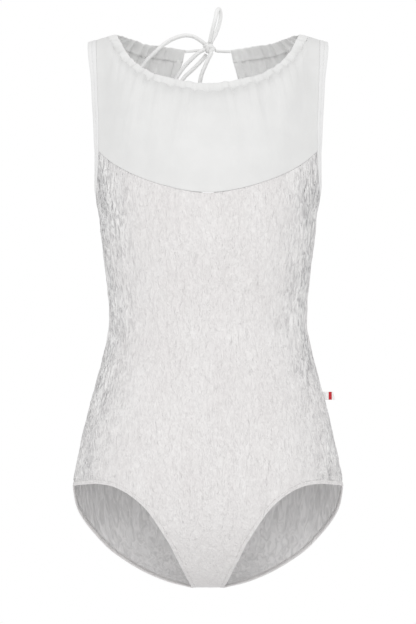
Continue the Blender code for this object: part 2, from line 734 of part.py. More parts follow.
def build():
    """Make every piece of the leotard."""
    for old in list(bpy.data.objects):
        bpy.data.objects.remove(old)
    garment = bpy.data.collections.new("Velvet leotard")
    bpy.context.scene.collection.children.link(garment)

    velvet_look = ((0.80, 0.78, 0.79), 0.75)
    yoke_look = ((0.83, 0.83, 0.82), 0.60)
    trim_look = ((0.88, 0.88, 0.88), 0.55)

    velvet("front_body", FRONT, velvet_look, garment)
    velvet("back_body", BACK, velvet_look, garment)
    yoke_front(yoke_look, garment)
    yoke_back("back_yoke_left", LEFT, yoke_look, garment)
    yoke_back("back_yoke_right", RIGHT, yoke_look, garment)
    casing_front(trim_look, garment)
    casing_back("neck_casing_left", LEFT, trim_look, garment)
    casing_back("neck_casing_right", RIGHT, trim_look, garment)
    arm = arm_stations()
    leg = leg_stations()
    edge_band("arm_binding_left", arm, LEFT, ARM_BAND_WIDTH, 1, trim_look, garment)
    edge_band("arm_binding_right", arm, RIGHT, ARM_BAND_WIDTH, 1, trim_look, garment)
    edge_band("leg_hem_left", leg, LEFT, LEG_HEM_WIDTH, -1, velvet_look, garment)
    edge_band("leg_hem_right", leg, RIGHT, LEG_HEM_WIDTH, -1, velvet_look, garment)
    knot(trim_look, garment)
    cord("drawstring_left", knot_exit(TAUT_LEFT_LEAVES) + TAUT_LEFT, TAUT_DIAMETER, trim_look, garment)
    cord("drawstring_right", knot_exit(TAUT_RIGHT_LEAVES) + TAUT_RIGHT, TAUT_DIAMETER, trim_look, garment)
    cord("bow_loop_up", knot_exit(LOOP_UP_LEAVES) + LOOP_UP + knot_exit(LOOP_UP_RETURNS)[::-1],
         CORD_DIAMETER, trim_look, garment)
    cord("bow_loop_side", knot_exit(LOOP_SIDE_LEAVES) + LOOP_SIDE + knot_exit(LOOP_SIDE_RETURNS)[::-1],
         CORD_DIAMETER, trim_look, garment)
    cord("bow_tail_left", knot_exit(TAIL_LEFT_LEAVES) + TAIL_LEFT, CORD_DIAMETER, trim_look, garment)
    cord("bow_tail_right", knot_exit(TAIL_RIGHT_LEAVES) + TAIL_RIGHT, CORD_DIAMETER, trim_look, garment)
    side_tab(trim_look, garment)


build()
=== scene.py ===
"""The looks of a sleeveless leotard of crush velvet, filled out as if it were worn.

Every cloth piece is a fine shell on the form of its solid, worked out from the same
named sizes and tables. Sizes are in millimetres and become metres when a mesh is made.
The front faces -Y, and +X is the wearer's left.
"""

from collections import namedtuple
from math import asin, ceil, cos, degrees, pi, radians, sin

import bmesh
import bpy
import numpy as np
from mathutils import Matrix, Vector, noise


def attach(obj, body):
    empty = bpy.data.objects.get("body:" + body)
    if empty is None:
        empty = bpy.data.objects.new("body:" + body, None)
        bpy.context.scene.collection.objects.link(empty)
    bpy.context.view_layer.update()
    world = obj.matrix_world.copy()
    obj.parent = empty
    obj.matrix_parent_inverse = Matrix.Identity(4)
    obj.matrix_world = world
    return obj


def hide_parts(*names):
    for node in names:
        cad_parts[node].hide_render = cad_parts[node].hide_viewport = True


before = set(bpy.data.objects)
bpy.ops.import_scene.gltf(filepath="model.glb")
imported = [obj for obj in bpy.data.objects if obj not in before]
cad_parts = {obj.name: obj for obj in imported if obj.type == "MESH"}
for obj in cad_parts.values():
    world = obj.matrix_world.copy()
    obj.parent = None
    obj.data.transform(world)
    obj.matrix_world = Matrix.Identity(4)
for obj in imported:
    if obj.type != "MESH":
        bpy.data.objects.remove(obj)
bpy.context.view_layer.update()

MM = 0.001
FRONT = -1
BACK = 1
LEFT = 1
RIGHT = -1

# Cloth
VELVET_WALL = 1.4
YOKE_WALL = 0.9

# Trims: the armhole's band turns outwards a little between the corner and the shoulder
ARM_BAND_WIDTH = 10.6
ARM_BAND_TURN = 1.0
BAND_TURN_TOP = 0.85
BAND_TURN_RISE = 0.25
LEG_HEM_WIDTH = 4.7
FRONT_CASING = 310.0
BACK_CASING = 115.0
CASING_STEP = 0.75
STITCH = 3.0
STITCH_GAP = 1.4
THREAD_DIAMETER = 0.5
STITCH_LINE = 0.48

# The velvet: its figure is a rounded oval, and its grid is finer than its nap
ROUNDNESS = 2.2
VELVET_HALF_GIRTH = 170.0
VELVET_ROWS = 196
VELVET_COLUMNS = 222

# The nap's crush grows towards the sides, and there the colour carries painted sheen and shade in light and
# dark
# streaks: where that starts, in degrees from the centre line, and how far round it takes to be full, first
# for that painted colour, with a deeper bump, and then for the relief
CRUSH_AND_PAINTED_LIGHT_START = 26.0
CRUSH_AND_PAINTED_LIGHT_SPREAD = 42.0
RELIEF_START = 34.0
RELIEF_SPREAD = 34.0

# Close to a seam the folds fade out, and the cloth's edge rolls down into it
RIM_FADE = 8.0
RIM_ROLL = 1.2

# The yokes: the neck takes up this share of their upper edge, and the shoulder seam the rest
NECK_SHARE = 0.94
NEAR_EDGE = 0.97
YOKE_BULGE = 5.0
SHOULDER_END = (134.0, 0.0, -6.5)
FRONT_TALL = 130.0
FRONT_HALF = 140.0
FRONT_REACH = 150.0
BACK_TALL = 150.0
BACK_REACH = 120.0
TURNED_EDGE = 10.0
TURNED_WALL = 0.8
TURNED_GAP = 0.15

# The yokes are drawn smooth from side to side, but for these shares at their top and sides
SOFT_TOP = 0.12
SOFT_SIDE = 0.015
SOFT_ROUNDS = 160

# The camera and the room
VIEW_DISTANCE = 3200.0
VIEW_HEIGHT = -333.0
VIEW_TALL = 748.8
FLOOR_LEVEL = -1150.0
SENSOR = 36.0
FILL_LIGHT = 0.86

# Each soft box: its name, its place and size in metres, and its watts
SOFTBOXES = [
    ("Front softbox", (0.0, -3.6, 0.4), (1.6, 1.6), 18.0),
    ("Left softbox", (2.2, -2.0, 0.2), (1.0, 2.2), 8.0),
    ("Right softbox", (-2.2, -2.0, 0.2), (1.0, 2.2), 8.0),
]

# Level is the way down the centre line of the front or the back; down the torso it is also the depth below
# the origin, and the front and back have one width
Torso = namedtuple("Torso", "level front back half_width")
TORSO = [
    Torso(142, 101.5, 101.5, 139.3),
    Torso(170, 107.0, 104.0, 137.4),
    Torso(200, 111.0, 103.0, 133.6),
    Torso(215, 111.5, 101.0, 130.6),
    Torso(240, 110.5, 97.0, 128.2),
    Torso(286, 104.0, 89.0, 122.5),
    Torso(321, 97.0, 84.5, 119.0),
    Torso(353, 92.5, 84.0, 118.8),
    Torso(384, 94.0, 89.0, 125.2),
    Torso(421, 99.5, 99.5, 134.9),
    Torso(456, 105.0, 111.0, 144.4),
    Torso(494, 108.5, 119.0, 153.0),
    Torso(530, 108.5, 119.5, 160.4),
]
SEAT_HALF_WIDTH = 163.0

# Below the hips the centre line turns under the body: level, height and depth
FRONT_SEAT = [
    (562, -561, 103.5), (590, -587, 94.0), (615, -608, 81.0), (640, -627, 64.0), (665, -643, 45.0),
    (690, -655, 23.0), (715, -663, -1.0), (740, -666, -26.0),
]
BACK_SEAT = [
    (562, -562, 115.0), (593, -592, 107.0), (621, -617, 95.0), (645, -636, 80.0), (667, -650, 63.0),
    (687, -660, 46.0), (708, -666, 26.0),
]
Figure = namedtuple("Figure", "level height depth half_width")
FRONT_FIGURE = [Figure(row.level, -row.level, row.front, row.half_width) for row in TORSO]
FRONT_FIGURE += [Figure(*row, SEAT_HALF_WIDTH) for row in FRONT_SEAT]
BACK_FIGURE = [Figure(row.level, -row.level, row.back, row.half_width) for row in TORSO]
BACK_FIGURE += [Figure(*row, SEAT_HALF_WIDTH) for row in BACK_SEAT]

# A row of cloth runs from the centre line to an edge, turn degrees round the figure. Down to the legs the
# front's and the back's rows end together in the side seam, and differ where they start
Side = namedtuple("Side", "front back edge turn bend")
SIDE_ROWS = [
    Side(195, 187, 142.0, 68.0, 1.45),
    Side(212, 205, 171.0, 72.5, 1.5),
    Side(226, 221, 191.0, 81.0, 1.6),
    Side(238, 234, 200.0, 90.0, 1.8),
    Side(266, 264, 240.0, 90.0, 2.0),
    Side(298, 298, 286.0, 90.0, 2.0),
    Side(329, 331, 326.0, 90.0, 2.0),
    Side(356, 360, 357.0, 90.0, 2.0),
    Side(385, 394, 394.0, 90.0, 2.0),
    Side(410, 430, 436.0, 90.0, 2.0),
    Side(434, 467, 480.0, 90.0, 2.0),
    Side(455, 499, 514.0, 90.0, 2.0),
    Side(472, 524, 537.4, 90.0, 2.0),
]
Row = namedtuple("Row", "centre edge turn bend")
LEG_BEND = 2.0

# Down the legs' edges: centre, edge and turn
FRONT_LEG = [
    (488, 532.6, 66.6), (504, 530.3, 52.2), (521, 533.4, 40.4), (543, 545.3, 30.0), (572, 566.5, 21.3),
    (607, 603.0, 13.7), (635, 630.6, 10.1), (668, 665.0, 6.7), (708, 707.0, 4.4), (740, 740.0, 4.0),
]
BACK_LEG = [
    (546, 549.0, 82.5), (568, 565.0, 75.5), (590, 584.0, 65.5), (612, 605.0, 54.5), (632, 626.0, 44.5),
    (650, 645.0, 34.7), (667, 664.0, 25.4), (682, 678.0, 18.3), (696, 694.0, 10.5), (708, 708.0, 4.0),
]
FRONT_ROWS = [Row(row.front, row.edge, row.turn, row.bend) for row in SIDE_ROWS]
FRONT_ROWS += [Row(*row, LEG_BEND) for row in FRONT_LEG]
BACK_ROWS = [Row(row.back, row.edge, row.turn, row.bend) for row in SIDE_ROWS]
BACK_ROWS += [Row(*row, LEG_BEND) for row in BACK_LEG]
ARMHOLE_ROWS = 3
LEG_ROW = 12

# The neck's top edge, and the seam below its casing, from the middle (way 0) to the shoulder (way 1)
Neck = namedtuple("Neck", "way top_x top_y top_z seam_x seam_y seam_z")
FRONT_NECK = [
    Neck(0.00, 0.0, -68.0, -64.2, 0.0, -74.5, -76.0),
    Neck(0.25, 39.0, -64.0, -58.8, 41.5, -70.5, -70.5),
    Neck(0.43, 64.5, -56.0, -51.5, 69.5, -62.5, -62.0),
    Neck(0.60, 84.6, -44.0, -38.4, 92.5, -50.0, -46.5),
    Neck(0.77, 98.8, -27.5, -21.3, 108.5, -31.0, -27.0),
    Neck(0.88, 105.6, -13.5, -8.0, 116.4, -15.0, -11.0),
    Neck(0.96, 109.0, -4.5, -1.0, 119.9, -5.0, -3.3),
    Neck(1.00, 110.0, 0.0, 0.0, 121.0, 0.0, -2.5),
]
BACK_NECK = [
    Neck(0.00, 28.0, 67.0, -12.0, 30.5, 69.5, -24.0),
    Neck(0.17, 46.0, 63.0, -9.5, 49.0, 66.0, -21.5),
    Neck(0.34, 64.0, 56.0, -8.0, 68.0, 59.5, -19.8),
    Neck(0.50, 78.0, 46.0, -6.5, 83.5, 49.5, -17.5),
    Neck(0.67, 90.5, 32.0, -3.5, 98.5, 35.0, -12.5),
    Neck(0.84, 101.5, 16.0, -1.2, 111.5, 17.5, -6.7),
    Neck(0.94, 107.4, 6.0, -0.2, 118.3, 6.5, -3.4),
    Neck(1.00, 110.0, 0.0, 0.0, 121.0, 0.0, -2.5),
]

# The armhole's edge on a yoke, from the shoulder (way 0) to the yoke's lower corner (way 1)
Edge = namedtuple("Edge", "way x y z")
ARMHOLE_EDGE = [
    Edge(0.00, 134.0, 0.0, -6.5),
    Edge(0.05, 133.9, 8.0, -7.9),
    Edge(0.13, 133.6, 19.0, -15.0),
    Edge(0.28, 132.7, 31.5, -36.0),
    Edge(0.54, 131.3, 39.5, -75.0),
    Edge(0.77, 129.8, 42.0, -110.0),
]

# The edge of the keyhole on the back yoke, from the velvet (way 0) up to the casing (way 1)
KEYHOLE_FOOT = 6.0
KEYHOLE_EDGE = [
    Edge(0.10, 17.5, 102.0, -172.0),
    Edge(0.22, 29.5, 99.0, -153.0),
    Edge(0.42, 41.0, 93.0, -121.0),
    Edge(0.62, 43.5, 86.5, -88.0),
    Edge(0.82, 38.5, 78.0, -54.0),
]

# Gathers of the front yoke, from the casing down: across is -1 to 1 from armhole to armhole
Gather = namedtuple("Gather", "across drift reach height width")
FRONT_GATHERS = [
    Gather(-0.81, -0.12, 0.20, 1.5, 0.024),
    Gather(-0.70, -0.20, 0.32, 1.9, 0.026),
    Gather(-0.60, -0.22, 0.40, 1.9, 0.022),
    Gather(-0.53, -0.24, 0.54, 2.2, 0.026),
    Gather(-0.455, -0.22, 0.70, 2.9, 0.026),
    Gather(-0.37, -0.17, 0.46, 2.0, 0.022),
    Gather(-0.29, -0.14, 0.66, 2.4, 0.026),
    Gather(-0.20, -0.08, 0.40, 1.7, 0.020),
    Gather(-0.135, -0.10, 0.80, 2.2, 0.024),
    Gather(-0.05, -0.03, 0.36, 1.4, 0.022),
    Gather(0.04, 0.03, 0.30, 1.2, 0.020),
    Gather(0.12, 0.10, 0.72, 2.3, 0.024),
    Gather(0.20, 0.10, 0.44, 1.7, 0.022),
    Gather(0.285, 0.14, 0.74, 2.8, 0.027),
    Gather(0.375, 0.16, 0.48, 2.0, 0.022),
    Gather(0.45, 0.21, 0.62, 2.9, 0.026),
    Gather(0.53, 0.24, 0.52, 2.2, 0.024),
    Gather(0.61, 0.20, 0.44, 2.0, 0.022),
    Gather(0.70, 0.18, 0.28, 1.8, 0.026),
    Gather(0.80, 0.14, 0.22, 1.4, 0.024),
]
BACK_GATHERS = [
    Gather(0.17, 0.03, 0.55, 2.1, 0.030),
    Gather(0.23, 0.02, 0.30, 1.2, 0.022),
    Gather(0.29, 0.05, 0.75, 2.8, 0.034),
    Gather(0.36, 0.05, 0.36, 1.5, 0.024),
    Gather(0.42, 0.08, 0.50, 2.3, 0.030),
    Gather(0.49, 0.08, 0.34, 1.4, 0.022),
    Gather(0.55, 0.10, 0.70, 2.8, 0.034),
    Gather(0.65, 0.12, 0.45, 2.1, 0.030),
    Gather(0.73, 0.10, 0.28, 1.4, 0.024),
    Gather(0.80, 0.12, 0.35, 1.8, 0.032),
]
GATHER_START = 0.05
GATHER_AT_SEAM = 0.85
GATHER_SWELL = 2.0
GATHER_STRETCH = 1.3

# Small puckers at the casing: their spacing, where their noise is read, and their height
FRONT_PUCKERS = (5.5, 2.7)
BACK_PUCKERS = (5.0, 8.3)
PUCKER_HEIGHT = 1.8
BACK_PUCKER_HEIGHT = 1.4

# Soft troughs and ridges of the velvet: where, how long and wide, and how far they lean from upright
Crease = namedtuple("Crease", "level turn length lean height width")
FRONT_CREASES = [
    Crease(190, -70, 70, 14, -0.9, 6.0),
    Crease(205, -58, 60, 20, 0.7, 8.0),
    Crease(188, 71, 64, -12, -0.8, 6.0),
    Crease(212, 60, 66, -22, 0.8, 8.0),
    Crease(300, -64, 120, 6, 0.8, 13.0),
    Crease(322, -48, 150, 4, -0.7, 15.0),
    Crease(310, 52, 150, -5, -0.7, 15.0),
    Crease(288, 66, 110, -8, 0.8, 12.0),
    Crease(345, -76, 54, 62, -0.8, 5.0),
    Crease(361, -79, 46, 70, -0.7, 4.5),
    Crease(352, 77, 50, -64, -0.8, 5.0),
    Crease(370, 80, 40, -74, -0.6, 4.5),
    Crease(452, -46, 120, -10, 0.6, 14.0),
    Crease(470, 40, 130, 10, 0.6, 15.0),
    Crease(520, -24, 90, -28, -0.6, 8.0),
    Crease(516, 26, 84, 30, -0.6, 8.0),
    Crease(590, -9, 80, -18, -0.5, 6.0),
    Crease(600, 8, 90, 15, -0.5, 6.0),
]
BACK_CREASES = [
    Crease(230, -52, 90, 18, -0.8, 9.0),
    Crease(246, 44, 100, -16, -0.8, 9.0),
    Crease(300, -20, 150, 3, 0.8, 14.0),
    Crease(312, 18, 160, -4, 0.8, 14.0),
    Crease(352, -60, 90, 68, -1.0, 6.0),
    Crease(366, -54, 84, 74, -0.8, 5.5),
    Crease(349, 58, 86, -66, -1.0, 6.0),
    Crease(368, 55, 80, -76, -0.8, 5.5),
    Crease(390, 4, 60, 86, -0.8, 6.0),
    Crease(404, -6, 70, 88, -0.6, 6.0),
    Crease(520, -40, 120, -14, 0.6, 15.0),
    Crease(512, 42, 120, 15, 0.6, 15.0),
    Crease(610, -26, 80, -40, -0.7, 8.0),
    Crease(606, 28, 84, 38, -0.7, 8.0),
]

# The drawstring: a stretched part on either side of the knot, two loops and two tails
CORD_DIAMETER = 5.0
TAUT_DIAMETER = 3.6
KNOT_CENTRE = (1.2, 65.5, -10.0)
KNOT_SIZE = (16.0, 13.0, 17.0)
KNOT_GAP = 0.3
KNOT_LEAD = 3.0

# The ways in which the cord leaves the knot, and the routes from there
TAUT_LEFT_LEAVES = (1.0, 0.1, -0.35)
TAUT_LEFT = [(18.0, 66.0, -13.9), (27.8, 65.9, -14.2)]
TAUT_RIGHT_LEAVES = (-1.0, 0.35, -0.25)
TAUT_RIGHT = [(-16.0, 67.4, -13.0), (-27.8, 65.9, -14.2)]
LOOP_UP_LEAVES = (0.15, -0.42, 0.9)
LOOP_UP_RETURNS = (0.3, 0.4, 0.85)
LOOP_UP = [
    (4.6, 58.0, 7.5), (7.0, 56.2, 17.0), (9.0, 55.6, 25.0), (10.6, 57.4, 33.4),
    (12.9, 62.6, 37.6), (14.8, 68.6, 36.0), (15.4, 72.4, 28.6), (13.0, 74.0, 17.5), (8.8, 73.4, 7.0),
]
LOOP_SIDE_LEAVES = (-0.75, -0.3, 0.7)
LOOP_SIDE_RETURNS = (-0.85, -0.5, -0.35)
LOOP_SIDE = [
    (-16.5, 60.0, 3.2), (-27.5, 58.8, 5.0), (-40.5, 55.6, 1.4), (-53.0, 50.6, -6.2),
    (-65.0, 44.2, -17.5), (-76.5, 38.4, -30.0), (-84.0, 35.6, -43.5), (-86.5, 35.2, -58.0),
    (-80.5, 37.4, -70.0), (-68.5, 41.4, -74.5), (-55.5, 46.0, -70.5), (-46.0, 50.0, -60.5),
    (-38.5, 53.0, -47.5), (-30.0, 55.0, -35.0), (-21.5, 56.4, -25.6), (-13.0, 57.6, -17.6),
]
TAIL_RIGHT_LEAVES = (-0.45, 0.1, -0.9)
TAIL_RIGHT = [
    (-8.6, 64.0, -26.0), (-18.6, 58.6, -36.5), (-29.0, 52.4, -47.0), (-36.2, 49.4, -60.0),
    (-40.0, 47.8, -74.0), (-41.6, 47.0, -89.0), (-42.0, 46.8, -105.0),
]
TAIL_LEFT_LEAVES = (0.25, -0.6, -0.75)
TAIL_LEFT = [
    (0.6, 55.6, -23.5), (-3.6, 53.2, -33.0), (-7.6, 51.8, -43.0), (-10.4, 50.8, -56.0),
    (-12.4, 50.0, -70.0), (-13.4, 49.6, -85.0), (-13.8, 49.5, -100.0), (-13.9, 49.5, -118.0),
]

# The folded tape sewn in the left side seam
TAB_REACH = 13.0
TAB_HEIGHT = 9.5
TAB_THICKNESS = 1.8
TAB_LEVEL = 433.5


def smooth(keys, values, at, flat_start=False):
    """Read values at a smooth curve through them, for a number or an array of places."""
    keys = np.asarray(keys, float)
    values = np.asarray(values, float)
    rise = np.diff(values) / np.diff(keys)
    slope = np.empty_like(values)
    slope[0] = 0.0 if flat_start else rise[0]
    slope[-1] = rise[-1]
    before = keys[1:-1] - keys[:-2]
    after = keys[2:] - keys[1:-1]
    slope[1:-1] = (rise[:-1] * after + rise[1:] * before) / (before + after)
    at = np.clip(at, keys[0], keys[-1])
    i = np.clip(np.searchsorted(keys, at) - 1, 0, len(keys) - 2)
    step = keys[i + 1] - keys[i]
    t = (at - keys[i]) / step
    return (values[i] * (1 + 2 * t) * (1 - t) ** 2 + values[i + 1] * t * t * (3 - 2 * t)
            + slope[i] * step * t * (1 - t) ** 2 - slope[i + 1] * step * t * t * (1 - t))


def read(table, column, at, flat_start=False):
    """Read a column of a table at values of its first column."""
    return smooth([row[0] for row in table], [getattr(row, column) for row in table], at, flat_start)


def points_of(table, way):
    """The points of an edge table at shares of its way."""
    return np.stack([read(table, column, way) for column in ("x", "y", "z")], -1)


def mirrored(points, side):
    """Points of the left half, moved to the side they are wanted on."""
    return points * np.array((side, 1, 1))


def unit(vectors):
    """Vectors brought to a length of one."""
    return vectors / np.maximum(np.linalg.norm(vectors, axis=-1, keepdims=True), 1e-9)


def figure_points(face, level, turn):
    """Points of the figure at levels, turn degrees round from its centre line."""
    table = FRONT_FIGURE if face == FRONT else BACK_FIGURE
    across = np.abs(np.sin(np.radians(turn))) ** (2 / ROUNDNESS) * np.sign(turn)
    along = np.maximum(np.cos(np.radians(turn)), 0.0) ** (2 / ROUNDNESS)
    return np.stack([read(table, "half_width", level) * across,
                     face * read(table, "depth", level) * along,
                     read(table, "height", level)], -1)


def figure_normals(face, level, turn):
    """Directions that face out of the figure."""
    turn = np.minimum(turn, 88.0)
    along = figure_points(face, level, turn + 1.0) - figure_points(face, level, turn - 1.0)
    down = figure_points(face, level + 1.0, turn) - figure_points(face, level - 1.0, turn)
    return unit(np.cross(down, along) * -face)


def row_value(rows, column, at, corners):
    """A column of the rows at row numbers that need not be whole, with corners kept sharp."""
    values = np.array([getattr(row, column) for row in rows], float)
    at = np.asarray(at, float)
    result = np.zeros_like(at)
    ends = [0, *corners, len(rows) - 1]
    for low, high in zip(ends, ends[1:]):
        inside = (at >= low) & (at <= high)
        result[inside] = smooth(range(low, high + 1), values[low:high + 1], at[inside])
    return result


def row_place(rows, share, index):
    """Level and turn of a velvet panel, share of the way from its centre line to its edge."""
    corners = (ARMHOLE_ROWS, LEG_ROW)
    centre = row_value(rows, "centre", index, ())
    edge = row_value(rows, "edge", index, corners)
    turn = row_value(rows, "turn", index, corners)
    swing = np.abs(share) ** row_value(rows, "bend", index, ())
    return centre + (edge - centre) * swing, turn * share


def velvet_points(face, share, index):
    """Points of a velvet panel, and their levels and turns."""
    rows = FRONT_ROWS if face == FRONT else BACK_ROWS
    level, turn = row_place(rows, share, index)
    return figure_points(face, level, turn), level, turn


def neck_points(face, way, across):
    """Points of the casing: across 0 on the seam and 1 on the top edge, way -1 to 1."""
    table = FRONT_NECK if face == FRONT else BACK_NECK
    middle = face == FRONT
    place = np.abs(way)
    side = np.where(way >= 0, 1.0, -1.0)
    edges = [np.stack([read(table, edge + "_x", place) * side, read(table, edge + "_y", place, middle),
                       read(table, edge + "_z", place, middle)], -1) for edge in ("seam", "top")]
    across = np.asarray(across)[..., None]
    return edges[0] * (1 - across) + edges[1] * across


def yoke_top(face, share):
    """The upper edge of a yoke: along the casing, then along the shoulder seam."""
    place = np.abs(share)
    neck = neck_points(face, np.clip(share / NECK_SHARE, -1, 1), np.zeros_like(share))
    beyond = np.maximum((place - NECK_SHARE) / (1 - NECK_SHARE), 0.0)[..., None]
    side = np.where(share >= 0, 1.0, -1.0)[..., None]
    end = np.array(SHOULDER_END) * np.concatenate([side, np.ones_like(side), np.ones_like(side)], -1)
    return neck * (1 - beyond) + end * beyond


def yoke_side(face, way):
    """The armhole edge of a yoke on the left, way 0 at its lower corner and 1 at the shoulder."""
    corner = velvet_points(face, np.array(1.0), np.array(0.0))[0]
    table = ARMHOLE_EDGE + [Edge(1.0, corner[0], abs(corner[1]), corner[2])]
    return points_of(table, 1 - way) * np.array((1, face, 1))


def keyhole_share():
    """The share of the velvet's upper edge that lies inside the keyhole's foot."""
    row = BACK_ROWS[0]
    across = KEYHOLE_FOOT / float(read(BACK_FIGURE, "half_width", row.centre))
    return degrees(asin(across ** (ROUNDNESS / 2))) / row.turn


def keyhole_side(way):
    """The keyhole edge of the left back yoke, way 0 at the velvet and 1 at the casing."""
    foot = velvet_points(BACK, np.array(keyhole_share()), np.array(0.0))[0]
    head = neck_points(BACK, np.array(0.0), np.array(0.0))
    return points_of([Edge(0.0, *foot)] + KEYHOLE_EDGE + [Edge(1.0, *head)], way)


def patch(lower, upper, first, second, across, up):
    """The grid of points spanned by four edges, rows running up."""
    u = across[None, :, None]
    v = up[:, None, None]
    edges = lower[None] * (1 - v) + upper[None] * v + first[:, None] * (1 - u) + second[:, None] * u
    corners = (lower[0] * (1 - u) + lower[-1] * u) * (1 - v) + (upper[0] * (1 - u) + upper[-1] * u) * v
    return edges - corners


def front_patch(across, up):
    """The front yoke's plain form, across from the right armhole to the left."""
    share = across * 2 - 1
    lower = velvet_points(FRONT, share, np.zeros_like(share))[0]
    side = yoke_side(FRONT, up)
    return patch(lower, yoke_top(FRONT, share), mirrored(side, RIGHT), side, across, up)


def back_patch(across, up):
    """The left back yoke's plain form, across from the keyhole to the armhole."""
    start = keyhole_share()
    lower = velvet_points(BACK, start + (1 - start) * across, np.zeros_like(across))[0]
    return patch(lower, yoke_top(BACK, across), keyhole_side(up), yoke_side(BACK, up), across, up)


def soften(grid, across, up):
    """A grid drawn smooth from side to side, all but its edges."""
    points = grid.copy()
    below = np.clip((1 - up) / SOFT_TOP, 0, 1)
    inside = np.clip(np.minimum(across, 1 - across) / SOFT_SIDE, 0, 1)
    share = (below[:, None] * inside)[:, 1:-1, None]
    for _ in range(SOFT_ROUNDS):
        pull = (points[:, 2:] + points[:, :-2]) / 2 - points[:, 1:-1]
        points[:, 1:-1] += pull * share / 2
    return points


def grid_normals(points):
    """Directions square to a grid of points."""
    return unit(np.cross(np.gradient(points, axis=1), np.gradient(points, axis=0)))


def noise_of(points, size, seed=0.0):
    """Smooth noise at points, its lumps about size wide, size being a number or one for each axis."""
    scaled = (points / np.array(size)).reshape(-1, 3) + seed
    return np.array([noise.noise(Vector(place)) for place in scaled]).reshape(points.shape[:-1])


def crowd(count, margins):
    """Evenly spaced shares from 0 to 1, with more of them close to both ends."""
    inner = np.linspace(margins[-1], 1 - margins[-1], count)
    near = np.array([0.0, *margins[:-1]])
    return np.concatenate([near, inner, (1 - near)[::-1]])


def mesh_object(name, points, faces):
    """A smooth mesh from points in millimetres."""
    mesh = bpy.data.meshes.new(name)
    mesh.from_pydata((np.asarray(points).reshape(-1, 3) * MM).tolist(), [], list(map(tuple, faces)))
    mesh.update()
    mesh.shade_smooth()
    return link(bpy.data.objects.new(name, mesh))


def link(piece):
    """Put an object in the scene."""
    bpy.context.scene.collection.objects.link(piece)
    return piece


def face_outwards(piece):
    """Turn the faces of a closed piece to its outside."""
    shape = bmesh.new()
    shape.from_mesh(piece.data)
    bmesh.ops.recalc_face_normals(shape, faces=shape.faces)
    shape.to_mesh(piece.data)
    shape.free()
    piece.data.shade_smooth()


def grid_faces(rows, columns, flip=False, close_rows=False, close_columns=False):
    """The four-cornered faces of a grid, which may close on itself."""
    index = np.arange(rows * columns).reshape(rows, columns)
    if close_rows:
        index = np.concatenate([index, index[:1]])
    if close_columns:
        index = np.concatenate([index, index[:, :1]], axis=1)
    corners = [index[:-1, :-1], index[:-1, 1:], index[1:, 1:], index[1:, :-1]]
    if flip:
        corners.reverse()
    return np.stack(corners, -1).reshape(-1, 4)


def finish_piece(piece, look, slot, *nodes, reverse=None):
    """Give a piece its finish, its body and the solids that it stands for."""
    piece.data.materials.append(look)
    if reverse:
        piece.data.materials.append(reverse)
        piece.modifiers["Wall"].material_offset = 1
    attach(piece, "root")
    if nodes:
        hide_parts(*nodes)
    return piece


def shell(name, points, wall, flip=False, crush_and_painted_light=None):
    """A grid of points with a wall on its inner side, and, if given, the share at each point of the velvet's
    painted sheen and shade and its deeper nap.
    """
    piece = mesh_object(name, points, grid_faces(*points.shape[:2], flip))
    # Kept on the mesh: the share of painted sheen and shade in the velvet's colour, which also deepens its
    # bump
    if crush_and_painted_light is not None:
        piece.data.attributes.new("crush_and_painted_light", "FLOAT", "POINT").data.foreach_set("value", crush_and_painted_light.ravel())
    solid = piece.modifiers.new("Wall", "SOLIDIFY")
    solid.thickness = wall * MM
    solid.offset = -1.0
    solid.use_even_offset = False
    return piece


def tube_points(path, radius, sides):
    """Rings of points round a path; radius is a number, or one for each point of each ring."""
    path = np.asarray(path)
    along = unit(np.gradient(path, axis=0))
    normal = unit(np.cross(along[0], (0.3, 1.0, 0.2)))
    rings = []
    radius = np.broadcast_to(radius, (len(path), sides))
    turn = (np.arange(sides) * 2 * pi / sides)[:, None]
    for spot in range(len(path)):
        normal = unit(normal - along[spot] * np.dot(normal, along[spot]))
        other = np.cross(along[spot], normal)
        ring = np.cos(turn) * normal + np.sin(turn) * other
        rings.append(path[spot] + ring * radius[spot][:, None])
    return np.array(rings)


def tube_mesh(rings):
    """Points and faces of a tube closed at both ends."""
    count, sides = rings.shape[:2]
    points = np.concatenate([rings.reshape(-1, 3), [rings[0].mean(0)], [rings[-1].mean(0)]])
    faces = grid_faces(count, sides, close_columns=True).tolist()
    last = (count - 1) * sides
    for i in range(sides):
        j = (i + 1) % sides
        faces.append([count * sides, j, i])
        faces.append([count * sides + 1, last + i, last + j])
    return points, faces


def joined(name, parts):
    """One mesh from several lots of points and faces."""
    points = []
    faces = []
    start = 0
    for part_points, part_faces in parts:
        points.append(np.asarray(part_points).reshape(-1, 3))
        faces += [[corner + start for corner in face] for face in part_faces]
        start += len(points[-1])
    return mesh_object(name, np.concatenate(points), faces)


def new_material(name, roughness, specular=0.25, sheen=0.0, sheen_roughness=0.4):
    """A cloth material with its shader's constant values set, and the node tree to build on."""
    material = bpy.data.materials.new(name)
    material.use_nodes = True
    shader = material.node_tree.nodes["Principled BSDF"]
    shader.inputs["Roughness"].default_value = roughness
    shader.inputs["Specular IOR Level"].default_value = specular
    shader.inputs["Sheen Weight"].default_value = sheen
    shader.inputs["Sheen Roughness"].default_value = sheen_roughness
    return material, material.node_tree, shader


def noise_node(tree, source, scale, stretch, detail=3.0, distortion=0.0):
    """Noise on the piece's own coordinates in millimetres, stretched by its sizes along X, Y and Z."""
    mapping = tree.nodes.new("ShaderNodeMapping")
    mapping.inputs["Scale"].default_value = [1000 / (scale * axis) for axis in stretch]
    tree.links.new(source, mapping.inputs["Vector"])
    texture = tree.nodes.new("ShaderNodeTexNoise")
    texture.inputs["Scale"].default_value = 1.0
    texture.inputs["Detail"].default_value = detail
    texture.inputs["Distortion"].default_value = distortion
    tree.links.new(mapping.outputs["Vector"], texture.inputs["Vector"])
    return texture.outputs["Fac"]


